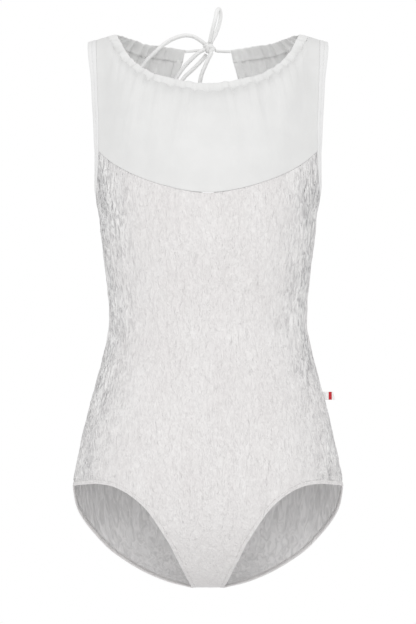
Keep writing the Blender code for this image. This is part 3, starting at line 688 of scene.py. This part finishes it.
def ramp_node(tree, source, stops):
    """A colour ramp from a value, with stops of a place and a colour."""
    ramp = tree.nodes.new("ShaderNodeValToRGB")
    elements = ramp.color_ramp.elements
    while len(elements) < len(stops):
        elements.new(0.5)
    for element, (place, colour) in zip(elements, stops):
        element.position = place
        element.color = (*colour, 1.0)
    tree.links.new(source, ramp.inputs["Fac"])
    return ramp.outputs["Color"]


def bump_node(tree, height, distance, strength, normal=None):
    """A bump of a height in millimetres."""
    bump = tree.nodes.new("ShaderNodeBump")
    bump.inputs["Distance"].default_value = distance * MM
    bump.inputs["Strength"].default_value = strength
    tree.links.new(height, bump.inputs["Height"])
    if normal:
        tree.links.new(normal, bump.inputs["Normal"])
    return bump.outputs["Normal"]


def mix_node(tree, first, second, factor, blend="MIX"):
    """Two colours mixed by a factor, which is a number or a socket."""
    mix = tree.nodes.new("ShaderNodeMix")
    mix.data_type = "RGBA"
    mix.blend_type = blend
    tree.links.new(first, mix.inputs["A"])
    tree.links.new(second, mix.inputs["B"])
    if isinstance(factor, float):
        mix.inputs["Factor"].default_value = factor
    else:
        tree.links.new(factor, mix.inputs["Factor"])
    return mix.outputs["Result"]


def velvet_material():
    """Crushed velvet: an upright nap in streaks; towards the sides, painted sheen and shade, streaks and
    patches painted light or dark as if catching the light or losing it, over a deeper bump.
    """
    material, tree, shader = new_material("Crushed velvet", 0.62, 0.3, 0.30, 0.35)
    source = tree.nodes.new("ShaderNodeTexCoord").outputs["Object"]
    streaks = noise_node(tree, source, 3.0, (1.0, 1.0, 2.6), 4.0, 1.6)
    crush = noise_node(tree, source, 7.0, (1.0, 1.0, 1.8), 3.0, 1.0)
    strands = noise_node(tree, source, 5.4, (1.0, 1.0, 3.6), 4.0, 1.9)
    patches = noise_node(tree, source, 20.0, (1.0, 1.0, 2.6), 2.0)
    cloud = noise_node(tree, source, 34.0, (1.0, 1.0, 2.0), 2.0)
    even = ramp_node(tree, streaks, [
        (0.30, (0.716, 0.698, 0.696)), (0.50, (0.770, 0.753, 0.749)), (0.70, (0.818, 0.805, 0.80)),
    ])
    # Painted sheen and shade: strong light and dark streaks for the sides, where the cloth turns from the
    # light
    crush_and_painted_light = ramp_node(tree, strands, [
        (0.30, (0.39, 0.385, 0.39)), (0.41, (0.62, 0.615, 0.62)),
        (0.50, (0.82, 0.815, 0.81)), (0.62, (0.96, 0.955, 0.95)),
    ])
    # Painted shade: broad darker patches over those painted streaks
    painted_shade_patches = ramp_node(tree, patches, [(0.38, (0.88, 0.88, 0.885)), (0.58, (1.0, 1.0, 1.0))])
    crush_and_painted_light = mix_node(tree, crush_and_painted_light, painted_shade_patches, 1.0, "MULTIPLY")
    # The mesh's share of painted sheen and shade mixes the painted streaks in, and deepens the nap's bump
    share = tree.nodes.new("ShaderNodeAttribute")
    share.attribute_name = "crush_and_painted_light"
    colour = mix_node(tree, even, crush_and_painted_light, share.outputs["Fac"])
    wide = ramp_node(tree, cloud, [(0.35, (0.97, 0.965, 0.965)), (0.65, (1.0, 1.0, 1.0))])
    tree.links.new(mix_node(tree, colour, wide, 1.0, "MULTIPLY"), shader.inputs["Base Color"])
    depth = tree.nodes.new("ShaderNodeMath")
    depth.operation = "MULTIPLY"
    tree.links.new(strands, depth.inputs[0])
    tree.links.new(share.outputs["Fac"], depth.inputs[1])
    coarse = bump_node(tree, crush, 2.4, 1.0)
    soft = bump_node(tree, streaks, 1.4, 1.0, coarse)
    tree.links.new(bump_node(tree, depth.outputs["Value"], 4.0, 1.0, soft), shader.inputs["Normal"])
    return material


def reverse_material(name, colour, streak):
    """The inner side of a cloth: smoother and paler, with the streaks of the nap showing through."""
    material, tree, shader = new_material(name, 0.7, 0.2, 0.1, 0.5)
    source = tree.nodes.new("ShaderNodeTexCoord").outputs["Object"]
    strands = noise_node(tree, source, 6.0, (1.0, 1.0, 4.0), 3.0, 1.2)
    dark = tuple(value * (1 - streak) for value in colour)
    tree.links.new(ramp_node(tree, strands, [(0.32, dark), (0.62, colour)]), shader.inputs["Base Color"])
    knit = noise_node(tree, source, 0.8, (1.0, 1.0, 1.6), 2.0)
    first = bump_node(tree, strands, 1.0, 0.8)
    tree.links.new(bump_node(tree, knit, 0.1, 0.5, first), shader.inputs["Normal"])
    return material


def jersey_material(name, colour, roughness):
    """Smooth stretch jersey: an even fine knit with a slight cloudiness."""
    material, tree, shader = new_material(name, roughness, 0.25, 0.12, 0.5)
    source = tree.nodes.new("ShaderNodeTexCoord").outputs["Object"]
    cloud = noise_node(tree, source, 26.0, (1.0, 1.0, 1.0), 2.0)
    darker = tuple(value * 0.97 for value in colour)
    tree.links.new(ramp_node(tree, cloud, [(0.35, darker), (0.65, colour)]), shader.inputs["Base Color"])
    knit = noise_node(tree, source, 0.6, (1.0, 1.0, 1.6), 2.0)
    soft = noise_node(tree, source, 5.0, (1.0, 1.0, 2.0), 2.0)
    first = bump_node(tree, soft, 0.5, 0.25)
    tree.links.new(bump_node(tree, knit, 0.1, 0.5, first), shader.inputs["Normal"])
    return material


VELVET = velvet_material()
YOKE = jersey_material("Yoke jersey", (0.745, 0.745, 0.74), 0.6)
TRIM = jersey_material("Trim jersey", (0.79, 0.79, 0.79), 0.55)
CASING = jersey_material("Casing jersey", (0.80, 0.80, 0.795), 0.6)
CORD = jersey_material("Cord jersey", (0.87, 0.87, 0.865), 0.6)
VELVET_REVERSE = reverse_material("Velvet reverse", (0.85, 0.84, 0.84), 0.22)
YOKE_REVERSE = reverse_material("Yoke reverse", (0.88, 0.88, 0.875), 0.02)
THREAD = jersey_material("Sewing thread", (0.80, 0.80, 0.80), 0.45)


def camera():
    """The camera, level with the garment's middle."""
    data = bpy.data.cameras.new("Camera")
    data.sensor_width = SENSOR
    data.lens = SENSOR * VIEW_DISTANCE / VIEW_TALL
    viewer = link(bpy.data.objects.new("Camera", data))
    viewer.location = (0.0, -VIEW_DISTANCE * MM, VIEW_HEIGHT * MM)
    viewer.rotation_euler = (radians(90), 0, 0)
    bpy.context.scene.camera = viewer
    bpy.context.scene.view_settings.view_transform = "Standard"


def room():
    """White all round, a little less bright as light than it looks, and a pale floor."""
    world = bpy.data.worlds.new("Room")
    bpy.context.scene.world = world
    world.use_nodes = True
    nodes = world.node_tree.nodes
    links = world.node_tree.links
    nodes.clear()
    path = nodes.new("ShaderNodeLightPath")
    mix = nodes.new("ShaderNodeMixShader")
    fill = nodes.new("ShaderNodeBackground")
    seen = nodes.new("ShaderNodeBackground")
    output = nodes.new("ShaderNodeOutputWorld")
    fill.inputs["Strength"].default_value = FILL_LIGHT
    fill.inputs["Color"].default_value = (1.0, 1.0, 1.0, 1.0)
    seen.inputs["Color"].default_value = (1.0, 1.0, 1.0, 1.0)
    links.new(path.outputs["Is Camera Ray"], mix.inputs["Fac"])
    links.new(fill.outputs["Background"], mix.inputs[1])
    links.new(seen.outputs["Background"], mix.inputs[2])
    links.new(mix.outputs["Shader"], output.inputs["Surface"])

    mesh = bpy.data.meshes.new("Floor")
    shape = bmesh.new()
    bmesh.ops.create_grid(shape, x_segments=2, y_segments=2, size=3.0)
    bmesh.ops.translate(shape, verts=shape.verts, vec=(0, 0, FLOOR_LEVEL * MM))
    shape.to_mesh(mesh)
    shape.free()
    material = bpy.data.materials.new("Floor")
    material.use_nodes = True
    shader = material.node_tree.nodes["Principled BSDF"]
    shader.inputs["Base Color"].default_value = (0.9, 0.9, 0.9, 1.0)
    shader.inputs["Roughness"].default_value = 0.9
    mesh.materials.append(material)
    link(bpy.data.objects.new("Floor", mesh))


def lamps():
    """Soft boxes in front and on both sides, all turned to the garment's middle."""
    for name, place, size, power in SOFTBOXES:
        lamp = bpy.data.lights.new(name, "AREA")
        lamp.shape = "RECTANGLE"
        lamp.size = size[0]
        lamp.size_y = size[1]
        lamp.energy = power
        light = link(bpy.data.objects.new(name, lamp))
        light.location = place
        aim = Vector((0, 0, VIEW_HEIGHT * MM)) - Vector(place)
        light.rotation_euler = aim.to_track_quat("-Z", "Y").to_euler()


def smooth_route(points, spacing):
    """Points read at even steps from a smooth curve through a cord's route."""
    route = []
    points = [np.array(point, float) for point in points]
    for i in range(len(points) - 1):
        before = points[max(i - 1, 0)]
        start = points[i]
        end = points[i + 1]
        after = points[min(i + 2, len(points) - 1)]
        steps = max(1, ceil(np.linalg.norm(end - start) / spacing))
        for step in range(steps):
            t = step / steps
            route.append(start * (1 + 2 * t) * (1 - t) ** 2 + end * t * t * (3 - 2 * t)
                         + (end - before) / 2 * t * (1 - t) ** 2 - (after - start) / 2 * t * t * (1 - t))
    route.append(points[-1])
    return np.array(route)


def knot_exit(leaves):
    """Two points where a cord leaves the knot squarely: just off its surface, and a little further out."""
    way = np.array(leaves) / np.linalg.norm(leaves)
    size = np.array(KNOT_SIZE)
    surface = np.array(KNOT_CENTRE) + way / np.linalg.norm(way * 2 / size)
    square = unit(way / size ** 2)
    return [surface + square * KNOT_GAP, surface + square * KNOT_LEAD]


def cord(name, points, diameter, node, bare_end=False):
    """A soft tube of jersey along its route, creased a little across, with a sewn edge along it."""
    path = smooth_route(points, 0.8)
    sides = 18
    spots = np.arange(len(path))
    turn = np.arange(sides) * 2 * pi / sides
    crimp = np.array([noise.noise(Vector((spot * 0.55, diameter, 3.1))) for spot in spots])
    seam = np.exp(-((turn - pi) / 0.35) ** 2)
    radius = diameter / 2 * (1 + 0.045 * crimp[:, None] - 0.10 * seam[None, :])
    if bare_end:
        close = np.clip((len(path) - 1 - spots) / 4, 0, 1)
        radius = radius * (0.55 + 0.45 * np.sqrt(close))[:, None]
    piece = mesh_object(name, *tube_mesh(tube_points(path, radius, sides)))
    finish_piece(piece, CORD, "drawstring", node)
    return piece, path


def drawstring():
    """The drawstring's stretches, loops and tails, and the knot that they meet in."""
    for name, leaves, route, node in (
        ("string_left", TAUT_LEFT_LEAVES, TAUT_LEFT, "drawstring_left"),
        ("string_right", TAUT_RIGHT_LEAVES, TAUT_RIGHT, "drawstring_right"),
    ):
        cord(name, knot_exit(leaves) + route, TAUT_DIAMETER, node)
    for name, leaves, route, returns, node in (
        ("loop_up", LOOP_UP_LEAVES, LOOP_UP, LOOP_UP_RETURNS, "bow_loop_up"),
        ("loop_side", LOOP_SIDE_LEAVES, LOOP_SIDE, LOOP_SIDE_RETURNS, "bow_loop_side"),
        ("tail_left", TAIL_LEFT_LEAVES, TAIL_LEFT, None, "bow_tail_left"),
        ("tail_right", TAIL_RIGHT_LEAVES, TAIL_RIGHT, None, "bow_tail_right"),
    ):
        points = knot_exit(leaves) + route
        if returns:
            points = points + knot_exit(returns)[::-1]
        piece, path = cord(name, points, CORD_DIAMETER, node, bare_end=not returns)
    knot()


def knot():
    """The tied knot: a soft core with the cord wrapped over and round it."""
    centre = np.array(KNOT_CENTRE)
    parts = []
    turn = np.linspace(0, 2 * pi, 64, endpoint=False)
    core_rings = []
    for up in np.linspace(-0.985, 0.985, 15):
        out = (1 - up * up) ** 0.5
        ring = np.stack([np.cos(turn) * out * 6.3, np.sin(turn) * out * 4.9, turn * 0 + up * 6.8], -1)
        core_rings.append(centre + ring)
    parts.append(tube_mesh(np.array(core_rings)))
    for reach, depth, lean, tilt, shift, thick in (
        (6.0, 4.6, 16, 12, (0.3, 0.0, 1.2), 2.3),
        (5.0, 4.3, 74, -12, (-0.8, -0.2, 0.4), 2.3),
        (3.4, 4.0, -36, 20, (2.2, -0.6, -2.6), 2.2),
    ):
        ring = np.stack([np.cos(turn) * reach, np.sin(turn) * depth, np.sin(turn * 2) * 0.5], -1)
        ring = ring @ rotation(lean, tilt).T + centre + np.array(shift)
        rings = tube_points(np.concatenate([ring, ring[:2]]), thick, 14)
        parts.append((rings[:64].reshape(-1, 3), grid_faces(64, 14, close_rows=True, close_columns=True)))
    piece = joined("knot", parts)
    finish_piece(piece, CORD, "drawstring", "bow_knot")


def rotation(lean, tilt):
    """The turn of a ring: lean about the way out of the back, then tilt about the upright."""
    a = radians(lean)
    b = radians(tilt)
    about_y = np.array([[cos(a), 0, sin(a)], [0, 1, 0], [-sin(a), 0, cos(a)]])
    about_z = np.array([[cos(b), -sin(b), 0], [sin(b), cos(b), 0], [0, 0, 1]])
    return about_z @ about_y


def crease_height(creases, level, turn):
    """How far the velvet stands out in its creases."""
    height = np.zeros_like(level)
    for crease in creases:
        across = (turn - crease.turn) * VELVET_HALF_GIRTH / 90
        down = level - crease.level
        lean = radians(crease.lean)
        along = down * cos(lean) + across * sin(lean)
        aside = across * cos(lean) - down * sin(lean)
        aside = aside + 0.08 * crease.length * np.sin(along / crease.length * 3.0)
        fade = np.clip(1 - (2 * along / crease.length) ** 2, 0, 1) ** 1.5
        height += crease.height * fade * np.exp(-(aside / crease.width) ** 2)
    return height


def velvet(name, face, creases, node):
    """A velvet panel: creases placed as listed, a relief of crush-marked nap and edges rolled into the seams,
    and the share of painted sheen and shade towards the sides.
    """
    rows = FRONT_ROWS if face == FRONT else BACK_ROWS
    centres = [row.centre for row in rows]
    down = crowd(VELVET_ROWS, (0.0012, 0.0028, 0.006))
    index = np.interp(centres[0] + (centres[-1] - centres[0]) * down, centres, np.arange(len(rows)))
    share = crowd(VELVET_COLUMNS, (0.0012, 0.003, 0.006)) * 2 - 1
    share = share * (1.30 - 0.30 * share * share)
    index, share = np.meshgrid(index, share, indexing="ij")
    points, level, turn = velvet_points(face, share, index)
    out = grid_normals(points) * face
    side_edge = (1 - np.abs(share)) * VELVET_HALF_GIRTH
    top_edge = (index - index[0, 0]) * 15.0
    foot_edge = (index[-1, 0] - index) * 30.0
    rim = np.minimum(np.minimum(side_edge, top_edge), foot_edge)
    fade = np.clip(rim / 12.0, 0, 1)
    relief = crease_height(creases, level, turn) * fade
    aside = np.clip((np.abs(turn) - RELIEF_START) / RELIEF_SPREAD, 0, 1)
    aside = aside * aside * (3 - 2 * aside)
    lumps = noise_of(points, (8.0, 8.0, 17.0), 4.0 + face)
    crush = 0.5 - np.abs(noise_of(points, (6.0, 6.0, 24.0), 9.0 + face)) * 2
    strands = noise_of(points, (3.4, 3.4, 13.0), 14.0 + face)
    nap = 0.40 * lumps + (0.12 + 0.95 * aside) * crush + (0.12 + 0.45 * aside) * strands
    relief += nap * np.clip(rim / 4.0, 0, 1)
    relief -= 0.35 * np.exp(-(rim / RIM_ROLL) ** 2)
    # Painted sheen and shade: light and dark streaks in the colour. Their share grows round towards the
    # sides, where the cloth turns from the light. It grows unevenly, and is larger high under the arms than
    # over the hips
    crush_and_painted_light = 1.05 * np.clip((np.abs(turn) - CRUSH_AND_PAINTED_LIGHT_START) / CRUSH_AND_PAINTED_LIGHT_SPREAD, 0, 1) ** 1.5
    crush_and_painted_light *= 0.85 + 0.5 * noise_of(points, (30.0, 30.0, 60.0), 31.0)
    crush_and_painted_light *= np.clip(1.42 - np.clip(level - 150, 0, 400) / 520, 0.66, 1.28)
    piece = shell(name, points + out * relief[..., None], VELVET_WALL, face == FRONT, np.clip(crush_and_painted_light, 0, 1))
    return finish_piece(piece, VELVET, "velvet", node, reverse=VELVET_REVERSE)


def gather_height(gathers, share, up):
    """How far the cloth stands out in its gathers: most at the casing, none below their reach."""
    height = np.zeros(np.broadcast(share, up).shape)
    for number, gather in enumerate(gathers):
        depth = (1 - up) / gather.reach
        wander = 0.006 * np.sin(depth * 4.0 + number * 1.7)
        centre = gather.across + gather.drift * depth * gather.reach + wander
        spread = gather.width * (1 + depth)
        offset = (share - centre) / spread
        fade = np.clip(1 - depth / GATHER_STRETCH, 0, 1) ** 1.4
        height += GATHER_SWELL * gather.height * fade / (1 + offset ** 4)
    return height


def fine_gathers(spots, up, spacing, seed):
    """Small uneven puckers at the casing, at distances along it in millimetres."""
    places = np.stack([spots / spacing, (1 - up) * 3.0, np.full_like(spots, seed)], -1)
    lumps = np.array([noise.noise(Vector(place)) for place in places.reshape(-1, 3)]).reshape(spots.shape)
    return lumps * np.exp(-(1 - up) / 0.13)


def yoke_rows():
    """Shares of the way up a yoke, closer together towards the casing."""
    return 1 - (1 - crowd(80, (0.004, 0.01, 0.02))) ** 1.3


def gather_start(up):
    """How much of their height the gathers have: a little less where the casing holds them."""
    return GATHER_AT_SEAM + (1 - GATHER_AT_SEAM) * np.clip((1 - up) / GATHER_START, 0, 1)


def yoke_front():
    """The gathered front yoke, in one piece from armhole to armhole."""
    across = crowd(300, (0.003, 0.007, 0.012))
    up = yoke_rows()
    points = soften(front_patch(across, up), across, up)
    share, up = np.meshgrid(across * 2 - 1, up)
    points[..., 1] -= YOKE_BULGE * np.sin(pi * up) * (1 - share * share)
    out = grid_normals(points)
    height = gather_height(FRONT_GATHERS, share, up)
    away = np.clip((0.97 - np.abs(share)) / 0.1, 0, 1)
    height += PUCKER_HEIGHT * fine_gathers(share * FRONT_REACH, up, *FRONT_PUCKERS) * away
    height += 0.5 * noise_of(points, (26.0, 26.0, 48.0), 5.0)
    rim = np.minimum(up * FRONT_TALL, (1 - np.abs(share)) * FRONT_HALF)
    height = height * gather_start(up) * np.clip(rim / RIM_FADE, 0, 1) - 0.2 * np.exp(-(rim / RIM_ROLL) ** 2)
    piece = shell("yoke_front", points + out * height[..., None], YOKE_WALL)
    finish_piece(piece, YOKE, "yoke_jersey", "front_yoke", reverse=YOKE_REVERSE)


def yoke_back(side):
    """One half of the back yoke, beside the keyhole, with a flat turned strip along the keyhole."""
    across = crowd(150, (0.006, 0.014, 0.024))
    up = yoke_rows()
    plain = back_patch(across, up)
    points = soften(plain, across, up)
    share, up = np.meshgrid(across, up)
    points[..., 1] += YOKE_BULGE * np.sin(pi * up) * share * (1 - share)
    out = -grid_normals(points)
    height = gather_height(BACK_GATHERS, share, up)
    away = np.clip((share - 0.10) / 0.05, 0, 1) * np.clip((0.96 - share) / 0.1, 0, 1)
    spacing, seed = BACK_PUCKERS
    height += BACK_PUCKER_HEIGHT * fine_gathers(share * BACK_REACH, up, spacing, seed + side) * away
    height += 0.5 * noise_of(points, (26.0, 26.0, 48.0), 15.0 + side)
    rim = np.minimum(up * BACK_TALL, np.minimum(1 - share, share) * BACK_REACH)
    height = height * gather_start(up) * np.clip(rim / RIM_FADE, 0, 1) - 0.25 * np.exp(-(rim / RIM_ROLL) ** 2)
    name = "left" if side == LEFT else "right"
    points = mirrored(points + out * height[..., None], side)
    piece = shell("yoke_back_" + name, points, YOKE_WALL, flip=side == LEFT)
    finish_piece(piece, YOKE, "yoke_jersey", "back_yoke_" + name, reverse=YOKE_REVERSE)
    turned = keyhole_edge(name, plain, across, side)


def keyhole_edge(name, points, across, side):
    """The back yoke's own edge, turned back flat on the inner side along the keyhole."""
    shares = np.linspace(0.002, TURNED_EDGE / BACK_REACH, 9)
    strip, inward = [
        np.array([[np.interp(shares, across, row[:, axis]) for axis in range(3)] for row in grid[2:-2]])
        for grid in (points, grid_normals(points))
    ]
    strip = strip.transpose(0, 2, 1) + unit(inward.transpose(0, 2, 1)) * (YOKE_WALL + TURNED_GAP)
    piece = shell("keyhole_edge_" + name, mirrored(strip, side), TURNED_WALL, flip=side == LEFT)
    return finish_piece(piece, YOKE, "yoke_jersey", reverse=YOKE_REVERSE)


def casing(name, face, side, node):
    """The casing of a stretch of the neck: a soft tunnel, puckered where the cord draws it in."""
    low = -1.0 if face == FRONT else 0.0
    length = FRONT_CASING if face == FRONT else BACK_CASING
    way = np.linspace(low, 1.0, int(length / CASING_STEP))
    seam = neck_points(face, way, np.zeros_like(way))
    top = neck_points(face, way, np.ones_like(way))
    rise = top - seam
    out = unit(np.cross(np.gradient(seam + rise / 2, axis=0), rise)) * -face
    ends = np.clip((1 - np.abs(way)) * length / 2 / 5.0, 0, 1)
    if face == BACK:
        ends = ends * np.clip(way * length / 6.0, 0, 1)
    share = way * NECK_SHARE
    if face == FRONT:
        spots = share * FRONT_REACH
        spacing, seed = FRONT_PUCKERS
        folds = gather_height(FRONT_GATHERS, share, np.ones_like(way)) * GATHER_AT_SEAM
    else:
        spots = share * BACK_REACH
        spacing, seed = BACK_PUCKERS
        seed = seed + side
        folds = gather_height(BACK_GATHERS, share, np.ones_like(way)) * GATHER_AT_SEAM
    rows = []
    for across, outer in CASING_SECTION:
        puckers = fine_gathers(spots, np.full_like(way, 1 - 0.12 * across), spacing, seed)
        lumps = np.array([noise.noise(Vector((spot / 4.2, across * 1.6, face + side))) for spot in spots])
        moved = (folds * (1 - 0.6 * max(across, 0.0)) + PUCKER_HEIGHT * GATHER_AT_SEAM * puckers) * ends
        moved = moved + 0.7 * lumps * ends * sin(pi * max(across, 0.0))
        edge = across * (1 + 0.06 * lumps * ends)
        rows.append(seam + rise * edge[:, None] + out * (outer + moved)[:, None])
    piece = mesh_object(name, *tube_mesh(mirrored(np.stack(rows, 1), side)))
    face_outwards(piece)
    finish_piece(piece, CASING, "yoke_jersey", node)


def even_path(points, vectors, spacing):
    """A closed path and its directions, read again at even steps."""
    closed = np.concatenate([points, points[:1]])
    turned = np.concatenate([vectors, vectors[:1]])
    way = np.concatenate([[0], np.cumsum(np.linalg.norm(np.diff(closed, axis=0), axis=1))])
    count = int(way[-1] / spacing)
    at = np.arange(count) * way[-1] / count
    path = np.stack([np.interp(at, way, closed[:, axis]) for axis in range(3)], -1)
    out = np.stack([np.interp(at, way, turned[:, axis]) for axis in range(3)], -1)
    return path, out


def settle(values, rounds):
    """Values round a closed path, each drawn towards its neighbours."""
    for _ in range(rounds):
        values = (np.roll(values, 1, axis=0) + values * 2 + np.roll(values, -1, axis=0)) / 4
    return values


def arm_path(spacing):
    """The edge of the left armhole, all the way round, and the directions out of the cloth."""
    points = []
    normals = []
    for face in (FRONT, BACK):
        index = np.linspace(ARMHOLE_ROWS, 0, 30)
        velvet_edge, level, turn = velvet_points(face, np.ones_like(index), index)
        up = np.linspace(0, 1, 120)[1:]
        edge = yoke_side(face, up)
        near = yoke_inner(face, up, NEAR_EDGE)
        along = np.gradient(edge, axis=0)
        out = unit(np.cross(along, edge - near)) * face
        fade = np.clip((BAND_TURN_TOP - up) / BAND_TURN_RISE, 0, 1)
        out[:, 0] += ARM_BAND_TURN * up * np.sin(pi * up) * fade
        out = unit(out)
        half = np.concatenate([velvet_edge, edge])
        half_out = np.concatenate([figure_normals(face, level, turn), out])
        if face == BACK:
            half = half[::-1][1:-1]
            half_out = half_out[::-1][1:-1]
        points.append(half)
        normals.append(half_out)
    return even_path(np.concatenate(points), np.concatenate(normals), spacing)


def yoke_inner(face, up, share):
    """Points of a yoke a little way in from its armhole edge."""
    if face == FRONT:
        points = front_patch(np.array([0.0, (share + 1) / 2, 1.0]), up)
        bulge = (1 - share * share)
    else:
        points = back_patch(np.array([0.0, share, 1.0]), up)
        bulge = share * (1 - share)
    points[..., 1] += face * (YOKE_BULGE * np.sin(pi * up) * bulge)[:, None]
    return points[:, 1]


def leg_path(spacing):
    """The edge of the left leg opening, all the way round, and the directions out of the cloth."""
    points = []
    normals = []
    for face in (FRONT, BACK):
        last = len(FRONT_ROWS) - 1
        index = np.linspace(LEG_ROW, last, 200)
        edge, level, turn = velvet_points(face, np.ones_like(index), index)
        out = figure_normals(face, level, turn)
        if face == BACK:
            edge = edge[::-1][1:-1]
            out = out[::-1][1:-1]
        points.append(edge)
        normals.append(out)
    return even_path(np.concatenate(points), np.concatenate(normals), spacing)


def band(name, path, out, side, width, away, section, look, slot, node, wave):
    """A closed band that carries the cloth on past the edge of an opening."""
    out = unit(settle(out, 8))
    along = unit(settle(np.roll(path, -1, axis=0) - np.roll(path, 1, axis=0), 3))
    across = unit(np.cross(along, out)) * away
    ripple = noise_of(path, (5.0, 5.0, 5.0), 21.0) * wave
    rings = np.stack([path + across * (reach * width) + out * (height + ripple[:, None] * (height > 0))
                      for reach, height in section], 1)
    rings = mirrored(rings, side)
    count, sides = rings.shape[:2]
    piece = mesh_object(name, rings, grid_faces(count, sides, close_rows=True, close_columns=True))
    face_outwards(piece)
    finish_piece(piece, look, slot, node)
    return piece, across


def stitch_row(name, path, out, side):
    """A row of small stitches that lie in the cloth, each a short thread that dips at both ends."""
    total = len(path)
    parts = []
    step = np.linalg.norm(np.diff(path, axis=0), axis=1).mean()
    pace = max(2, round((STITCH + STITCH_GAP) / step))
    reach = max(1, round(STITCH / step))
    for start in range(0, total - reach, pace):
        spots = [(start + k) % total for k in range(reach + 1)]
        ends = np.linspace(-1, 1, len(spots))
        line = path[spots] + out[spots] * (THREAD_DIAMETER * (0.55 - 0.9 * ends ** 2))[:, None]
        parts.append(tube_mesh(tube_points(mirrored(line, side), THREAD_DIAMETER / 2, 5)))
    piece = joined(name, parts)
    return finish_piece(piece, THREAD, "trim_jersey")


# The casing's section: shares of its height, and heights over the cloth
CASING_SECTION = [
    (-0.03, -0.12), (0.06, 0.02), (0.18, 0.10), (0.34, 0.24), (0.50, 0.34), (0.66, 0.36), (0.80, 0.28),
    (0.90, 0.12), (0.97, -0.1), (1.0, -0.5), (0.97, -0.95), (0.88, -1.15), (0.70, -1.2), (0.45, -1.15),
    (0.20, -1.25), (0.0, -1.42), (-0.14, -1.52), (-0.30, -1.50), (-0.31, -1.25), (-0.05, -0.9),
    (-0.03, -0.4),
]

# The bindings' section: shares of the width, and heights over the cloth
BINDING_SECTION = [
    (0.0, -0.45), (0.03, 0.05), (0.10, 0.28), (0.25, 0.36), (0.40, 0.32), (0.455, 0.12), (0.49, -0.08),
    (0.525, 0.12), (0.58, 0.34), (0.75, 0.42), (0.90, 0.32), (0.97, 0.0), (1.0, -0.6),
    (0.98, -1.1), (0.90, -1.6), (0.70, -1.8), (0.48, -1.5), (0.30, -1.8), (0.06, -1.6), (0.0, -1.0),
]
HEM_SECTION = [
    (0.0, -0.45), (0.05, 0.15), (0.20, 0.42), (0.38, 0.36), (0.48, 0.02), (0.58, 0.38), (0.78, 0.50),
    (0.93, 0.25), (1.0, -0.4), (0.97, -1.1), (0.80, -1.6), (0.50, -1.7), (0.15, -1.6), (0.0, -1.1),
]


def bindings():
    """The binding of each armhole and the turned hem of each leg opening, with their stitches."""
    arm, arm_out = arm_path(1.5)
    leg, leg_out = leg_path(1.5)
    turned = []
    for side, name in ((LEFT, "left"), (RIGHT, "right")):
        piece, across = band("binding_" + name, arm, arm_out, side, ARM_BAND_WIDTH, 1, BINDING_SECTION,
                             TRIM, "trim_jersey", "arm_binding_" + name, 0.25)
        line = arm + across * (STITCH_LINE * ARM_BAND_WIDTH)
        stitches = stitch_row("binding_stitches_" + name, line, unit(settle(arm_out, 8)), side)
        piece, across = band("hem_" + name, leg, leg_out, side, LEG_HEM_WIDTH, -1, HEM_SECTION,
                             VELVET, "velvet", "leg_hem_" + name, 0.2)
        line = leg + across * (STITCH_LINE * LEG_HEM_WIDTH)
        turned += [piece, stitch_row("hem_stitches_" + name, line, unit(settle(leg_out, 8)), side)]
    return turned


def side_tab():
    """The folded tape that stands out of the left side seam, with a plain woven stripe."""
    edge = float(figure_points(FRONT, np.array(TAB_LEVEL), np.array(90.0))[0])
    lower = float(figure_points(FRONT, np.array(TAB_LEVEL + TAB_HEIGHT / 2), np.array(90.0))[0])
    lean = (edge - lower) / (TAB_HEIGHT / 2)
    start = edge + 0.2
    fold = TAB_THICKNESS / 2
    leaf = 0.75
    reaches = np.linspace(0, TAB_REACH - fold, 16)
    swells = fold * np.minimum(1.0, 0.45 + reaches / 5.0)
    outline = list(zip(reaches, swells))
    for angle in np.linspace(80, -80, 9):
        outline.append((TAB_REACH - fold + fold * cos(radians(angle)), fold * sin(radians(angle))))
    outline += list(zip(reaches[::-1], -swells[::-1]))
    rows = []
    for up in np.linspace(-0.5, 0.5, 15):
        height = up * TAB_HEIGHT
        rows.append([(start + reach + lean * height, depth, -TAB_LEVEL + height) for reach, depth in outline])
    piece = shell("tab", np.array(rows), leaf, flip=True)
    material, tree, shader = new_material("Woven tape", 0.6, 0.25, 0.1)
    source = tree.nodes.new("ShaderNodeTexCoord").outputs["Object"]
    wave = tree.nodes.new("ShaderNodeTexWave")
    wave.wave_type = "BANDS"
    wave.bands_direction = "Z"
    wave.inputs["Scale"].default_value = 320.0
    tree.links.new(source, wave.inputs["Vector"])
    tree.links.new(bump_node(tree, wave.outputs["Fac"], 0.2, 0.6), shader.inputs["Normal"])
    split = tree.nodes.new("ShaderNodeSeparateXYZ")
    tree.links.new(source, split.inputs["Vector"])
    place = tree.nodes.new("ShaderNodeMapRange")
    place.inputs["From Min"].default_value = (start + 0.46 * TAB_REACH) * MM
    place.inputs["From Max"].default_value = (start + 0.78 * TAB_REACH) * MM
    tree.links.new(split.outputs["X"], place.inputs["Value"])
    white = (0.9, 0.9, 0.9)
    red = (0.55, 0.02, 0.03)
    stops = [(0.0, white), (0.08, red), (0.92, red), (1.0, white)]
    stripe = ramp_node(tree, place.outputs["Result"], stops)
    tree.links.new(stripe, shader.inputs["Base Color"])
    finish_piece(piece, material, "tape", "side_tab")


camera()
room()
lamps()
drawstring()
front = velvet("velvet_front", FRONT, FRONT_CREASES, "front_body")
back = velvet("velvet_back", BACK, BACK_CREASES, "back_body")
yoke_front()
yoke_back(LEFT)
yoke_back(RIGHT)
casing("casing_front", FRONT, 1, "neck_casing_front")
casing("casing_left", BACK, LEFT, "neck_casing_left")
casing("casing_right", BACK, RIGHT, "neck_casing_right")
hems = bindings()
side_tab()
